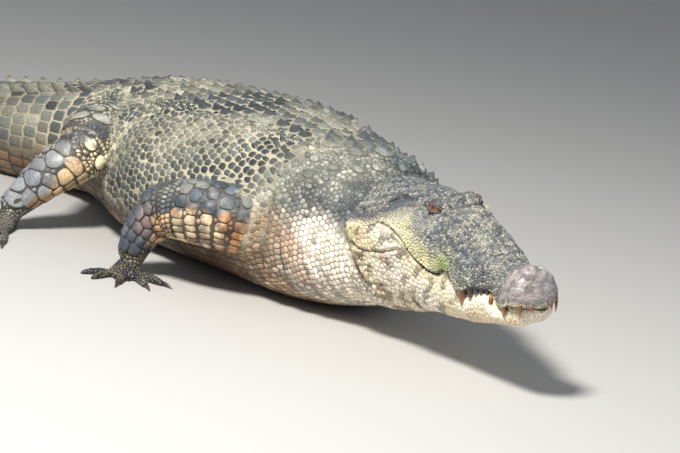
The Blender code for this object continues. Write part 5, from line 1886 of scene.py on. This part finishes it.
def hide_material():
    """The markings held on the mesh, with fine dirt, creases and wet or dry patches laid over them."""
    made, tree, shader = material("crocodile hide", 0.6)
    link = tree.links.new
    place = tree.nodes.new("ShaderNodeTexCoord").outputs["Object"]
    colour, wet = tree.nodes.new("ShaderNodeAttribute"), tree.nodes.new("ShaderNodeAttribute")
    colour.attribute_name, wet.attribute_name = "hide_colour", "wet"
    dirt = node(tree, "ShaderNodeTexNoise", Scale=190.0, Detail=4.0, Roughness=0.65)
    cracks = node(tree, "ShaderNodeTexVoronoi", Scale=330.0)
    cracks.feature = "DISTANCE_TO_EDGE"
    for texture in (dirt, cracks):
        link(place, texture.inputs["Vector"])
    speck = node(tree, "ShaderNodeMapRange", From_Min=0.36, From_Max=0.64, To_Min=0.62, To_Max=1.38)
    link(dirt.outputs["Fac"], speck.inputs["Value"])
    tint = tree.nodes.new("ShaderNodeVectorMath")
    tint.operation = "SCALE"
    link(colour.outputs["Color"], tint.inputs[0])
    link(speck.outputs["Result"], tint.inputs["Scale"])
    link(tint.outputs[0], shader.inputs["Base Color"])
    rough = node(tree, "ShaderNodeMapRange", From_Min=0.0, From_Max=1.0, To_Min=0.72, To_Max=0.26)
    link(wet.outputs["Fac"], rough.inputs["Value"])
    link(rough.outputs["Result"], shader.inputs["Roughness"])
    relief = node(tree, "ShaderNodeMath")
    relief.operation = "MULTIPLY_ADD"
    link(dirt.outputs["Fac"], relief.inputs[0])
    relief.inputs[1].default_value = 0.6
    link(cracks.outputs["Distance"], relief.inputs[2])
    bump_node = node(tree, "ShaderNodeBump", Strength=0.45, Distance=0.0012)
    link(relief.outputs[0], bump_node.inputs["Height"])
    link(bump_node.outputs["Normal"], shader.inputs["Normal"])
    return made


def varied_material(name, first, second, scale, roughness, coat=0.0, stretch=(1, 1, 1)):
    """Two colours mixed by noise."""
    made, tree, shader = material(name, roughness, coat)
    noise = node(tree, "ShaderNodeTexNoise", Scale=scale, Detail=3.0)
    mapping = tree.nodes.new("ShaderNodeMapping")
    mapping.inputs["Scale"].default_value = stretch
    ramp_node = tree.nodes.new("ShaderNodeValToRGB")
    start, end = ramp_node.color_ramp.elements
    start.position, end.position = 0.35, 0.65
    start.color, end.color = (*first, 1), (*second, 1)
    tree.links.new(tree.nodes.new("ShaderNodeTexCoord").outputs["Object"], mapping.inputs["Vector"])
    tree.links.new(mapping.outputs["Vector"], noise.inputs["Vector"])
    tree.links.new(noise.outputs["Fac"], ramp_node.inputs["Fac"])
    tree.links.new(ramp_node.outputs["Color"], shader.inputs["Base Color"])
    return made


def painted_material(name, roughness, coat=0.0):
    """A plain glossy material that takes its colour from the mesh."""
    made, tree, shader = material(name, roughness, coat)
    colour = tree.nodes.new("ShaderNodeAttribute")
    colour.attribute_name = "hide_colour"
    tree.links.new(colour.outputs["Color"], shader.inputs["Base Color"])
    return made


# -------- eyes, teeth, claws, crests
def solid_piece(name, forms, paint_with, colours=None):
    """One object from several closed forms, faces outward."""
    points, faces, start = [], [], 0
    for form_points, form_faces in forms:
        a, b, c = (form_points[form_faces[:, k]] for k in range(3))
        if (np.cross(a, b) * c).sum() < 0:
            form_faces = form_faces[:, ::-1]
        points.append(form_points)
        faces.append(form_faces + start)
        start += len(form_points)
    mesh = mesh_of(name, np.concatenate(points), np.concatenate(faces))
    mesh.shade_smooth()
    if colours is not None:
        give(mesh, "hide_colour", np.concatenate(colours))
    mesh.materials.append(paint_with)
    return new_object(name, mesh)


IRIS_RED, IRIS_AMBER, IRIS_SPOKES = (0.19, 0.045, 0.012), (0.30, 0.145, 0.032), (0.10, 0.022, 0.012)
EYE_RIM, PUPIL = (0.03, 0.015, 0.012), (0.004, 0.004, 0.005)


def make_eye(word, eye, paint_with):
    """A ball with a slit pupil, an amber-red iris that pales outward, and a dark rim."""
    rows, count = 48, 64
    theta = (np.arange(1, rows) / rows) ** 1.25 * math.pi
    turn = np.arange(count) / count * 2 * math.pi
    ring = np.stack([
        np.sin(theta)[:, None] * np.cos(turn), np.sin(theta)[:, None] * np.sin(turn),
        np.cos(theta)[:, None] * np.ones(count),
    ], -1)
    points, faces = closed_tube(ring)
    points[-2], points[-1] = (0, 0, 1), (0, 0, -1)
    x, y = points[:, 0], points[:, 1]
    out = np.degrees(np.arccos(np.clip(points[:, 2], -1, 1)))
    spokes = field(np.stack([np.arctan2(y, x) * 2.4, out * 0.012, x * 0], 1) + 5, 0.12, 71)
    slit = np.abs(x) / (0.048 * np.sqrt(np.clip(1 - (y / 0.62) ** 2, 0.0001, 1)))
    colour = layered(
        plain(points, IRIS_RED),
        (IRIS_AMBER, ramp(out, 10, 34) * 0.8),
        (IRIS_SPOKES, 0.40 + 0.55 * spokes),
        (EYE_RIM, ramp(out, 40, 50)),
        (PUPIL, ramp(-slit, -1.15, -0.85) * (np.abs(y) < 0.62)),
    )
    radius = eye["radius"] * (1 + 0.020 * ramp(-out, -42, -20))
    placed = eye["centre"] + (points * radius[:, None]) @ eye["axes"]
    return solid_piece(f"eyeball_{word}", [(placed, faces)], paint_with, [colour])


# Teeth that show with the jaws shut: place along the jaw, length, radius, whether worn and black.
UPPER_TEETH = (
    (0.664, 0.012, 0.0055, False), (0.646, 0.034, 0.0062, False), (0.619, 0.013, 0.0065, False),
    (0.594, 0.030, 0.0078, False), (0.503, 0.013, 0.0065, True), (0.487, 0.017, 0.0072, True),
    (0.472, 0.023, 0.0080, True), (0.453, 0.038, 0.0102, True), (0.420, 0.045, 0.0138, False),
    (0.368, 0.014, 0.0080, True),
)
LOWER_TEETH = ((0.528, 0.016, 0.0085, False),)
TOOTH_RINGS, TOOTH_SIDES = 15, 14
# Colours from root to tip.
BROWN_TOOTH = ((0.20, 0.070, 0.022), (0.50, 0.24, 0.075))
BLACK_TOOTH = ((0.02, 0.018, 0.020), (0.10, 0.095, 0.095))
TOOTH_SPOTS = (0.03, 0.02, 0.015)


def tooth_form(x, length, radius, side, upper):
    """A blunt cone, slightly curved, its root sunk in the jaw."""
    way = -1 if upper else 1
    half = float(along(UPPER_HALF_WIDTH if upper else JAW_HALF_WIDTH, x))
    base = np.array([x, side * (half - radius * 0.75), float(along(LIP_LINE, x)) - way * 0.003])
    axis = unit(np.array([0.05, side * 0.10, way]))
    across = unit(np.cross(axis, (1, 0, 0)))
    angle = np.linspace(0, 2 * math.pi, TOOTH_SIDES, endpoint=False)
    spoke = across * np.cos(angle)[:, None] * 0.86 + np.cross(axis, across) * np.sin(angle)[:, None]
    rings = []
    for share in np.linspace(0, 1, TOOTH_RINGS):
        girth = max(0.95 * (1 - share**1.9) ** 0.75, 0.06)
        centre = base + axis * (-0.012 + share * (length + 0.012))
        centre = centre + np.array([-0.10, -side * 0.10, 0]) * length * (share**2)
        rings.append(from_head(centre + spoke * radius * girth))
    return closed_tube(rings)


def make_teeth(paint_with):
    """Teeth stained darker toward the root, the worn ones nearly black."""
    forms, colours = [], []
    stage = np.concatenate([np.repeat(np.linspace(0, 1, TOOTH_RINGS), TOOTH_SIDES), [0, 1]])
    for upper, row in ((True, UPPER_TEETH), (False, LOWER_TEETH)):
        for x, length, radius, worn in row:
            for side in (-1, 1):
                if worn:  # the left one is worn once more than the right one
                    length, radius = length * 0.78, radius * 1.22
                points, faces = tooth_form(x, length, radius, side, upper)
                root, tip = BLACK_TOOTH if worn else BROWN_TOOTH
                spots = ramp(field(points, 0.006, 81), 0.2, 0.8) * 0.5
                forms.append((points, faces))
                colour = layered(plain(points, root), (tip, ramp(stage, 0.35, 0.85)), (TOOTH_SPOTS, spots))
                colours.append(colour)
    return solid_piece("teeth", forms, paint_with, colours)


def claw_form(start, way, length, radius):
    """A curved, pointed claw, deeper than it is broad."""
    side, angle = unit(np.cross(way, UP)), np.linspace(0, 2 * math.pi, 12, endpoint=False)
    rings = []
    for share in np.linspace(0, 1, 12):
        centre = start + way * (length * share) - UP * (share**2 * length * 0.26)
        girth = radius * (1 - share**1.6) ** 0.8 if share < 1 else radius * 0.05
        lean = unit(UP + way * (0.5 * share))
        spoke = side * np.cos(angle)[:, None] * 0.72 + lean * np.sin(angle)[:, None]
        rings.append(centre + spoke * max(girth, 0.0006))
    return closed_tube(rings)


def make_claws(word, limb_name, paint_with):
    """A claw on each clawed toe, one piece for each so that it stands for its own solid."""
    foot = ("hand_" if "fore" in limb_name else "foot_") + word
    _, _, plan = foot_plan(LIMBS[limb_name])
    for i, (root, way, reach, radius, has_claw) in enumerate(plan):
        if has_claw:
            start = root + way * (reach - radius * 0.5) + UP * radius * 0.55
            horn = claw_form(start, way, radius * 2.75, radius * 0.50)
            piece = solid_piece(f"{foot}_horn_{i + 1}", [horn], paint_with)
            above_floor(piece, 0.0004)
            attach(piece, "root")
            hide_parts(f"{foot}_claw_{i + 1}")


def crest_root(station, offset):
    """The height of the tail's surface under a blade."""
    half, top, _, widest = section(station)
    power = float(along(TOP_POWER, station))
    return float(widest + (top - widest) * (1 - abs(offset / half) ** power) ** (1 / power))


def blade_form(station, offset, height, length):
    """One upright scale of the tail's crest: a leaf raked back, its foot sunk in the tail."""
    place, forward, left = (value[0] for value in spine_at(np.array([station])))
    root = crest_root(station, offset) - 0.018
    turn = np.linspace(0, 2 * math.pi, 20, endpoint=False)
    rings = []
    for row in range(15):
        share = row / 14
        front = 0.53 - 0.42 * share - 0.34 * share**3 + 0.05 * math.sin(share * 3.1)
        rear = -0.50 - 0.16 * share + 0.10 * share**4
        narrow = (1 - share**2.6) ** 0.6 if share < 1 else 0.0
        middle, half = (front + rear) / 2, max((front - rear) / 2 * (0.30 + 0.70 * narrow), 0.02)
        middle = middle + (rear + 0.06 - middle) * 0.5 * share**3
        thick = 0.0115 * (1 - 0.72 * share**0.7) * max(narrow, 0.12)
        x = middle + half * np.cos(turn)
        y = thick * signed_power(np.sin(turn), 1.35) * (1 + 0.16 * np.cos(3 * turn) * (share < 0.8))
        z = root + share * (height + 0.018)
        sideways = (offset * (1 + 0.25 * share) + y)[:, None]
        rings.append(place + forward * (x * length)[:, None] + left * sideways + UP * z)
    return closed_tube(rings)


CREST_GREY, CREST_TIP = (0.15, 0.155, 0.14), (0.035, 0.038, 0.040)


def make_crests(paint_with):
    forms, colours, wets, maps = [], [], [], []
    for station, pitch, height in whorls():
        half = float(along(HALF_WIDTH, station))
        forward = spine_at(np.array([station]))[1][0]
        for offset in (-0.50 * half, 0.50 * half) if station < CRESTS_MEET else (0.0,):
            points, faces = blade_form(station, offset, height, pitch * 1.08)
            share = np.clip((points[:, 2] - crest_root(station, offset)) / height, 0, 1)
            mud = 0.45 + 0.4 * field(points, 0.08, 91)
            forms.append((points, faces))
            tip = ramp(share, 0.45, 1.0) * 0.75
            colours.append(layered(plain(points, CREST_GREY), (MUD, mud), (CREST_TIP, tip)))
            wets.append(np.full(len(points), 0.3))
            aft = dot(points - points[-2], plain(points, forward))
            patch = np.stack([aft / pitch, share], 1) * PATCH
            maps.append(np.array([(station - 2.3) / 2.6, 0.5 + offset]) + patch)
    crest = solid_piece("tail_crests", forms, paint_with, colours)
    give(crest.data, "wet", np.concatenate(wets))
    give_map(crest.data, np.concatenate(maps))
    return crest


# -------- the whole animal
LIMB_PARTS = ("upper_arm_", "forearm_", "hand_", "thigh_", "shank_", "foot_")
FLESH = [
    "head", "lower_jaw", "neck", "chest", "belly", "pelvis",
    "tail_base", "tail_middle", "tail_rear", "tail_tip",
    *(part + word for word in ("left", "right") for part in LIMB_PARTS),
]


def colour_hide(hide, paint_with):
    told = describe(read_points(hide.data))
    colour, wet = colours_at(told)
    give(hide.data, "hide_colour", gap_colours(told, colour))
    give(hide.data, "wet", wet)
    hide.data.materials.clear()
    hide.data.materials.append(paint_with)
    return told


def main():
    skin = hide_material()
    hide = make_hide()
    read_skin(hide)
    told = colour_hide(hide, skin)
    pieces = make_coat(hide, told, skin) + [make_crests(skin)]
    for piece in (hide, *pieces):
        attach(piece, "root")
        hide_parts(*FLESH)
    tooth, eyeball = painted_material("stained tooth", 0.30, 0.4), painted_material("wet eye", 0.06, 1.0)
    teeth = make_teeth(tooth)
    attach(teeth, "root")
    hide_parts("head", "lower_jaw")
    horn = varied_material("horn", (0.016, 0.014, 0.012), (0.075, 0.062, 0.045), 60.0, 0.32, 0.25)
    for word in ("left", "right"):
        eye = make_eye(word, EYES[word], eyeball)
        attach(eye, "root")
        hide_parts("eye_" + word)
        for limb_name in ("fore_" + word, "hind_" + word):
            make_claws(word, limb_name, horn)
    make_camera()
    make_studio()


main()
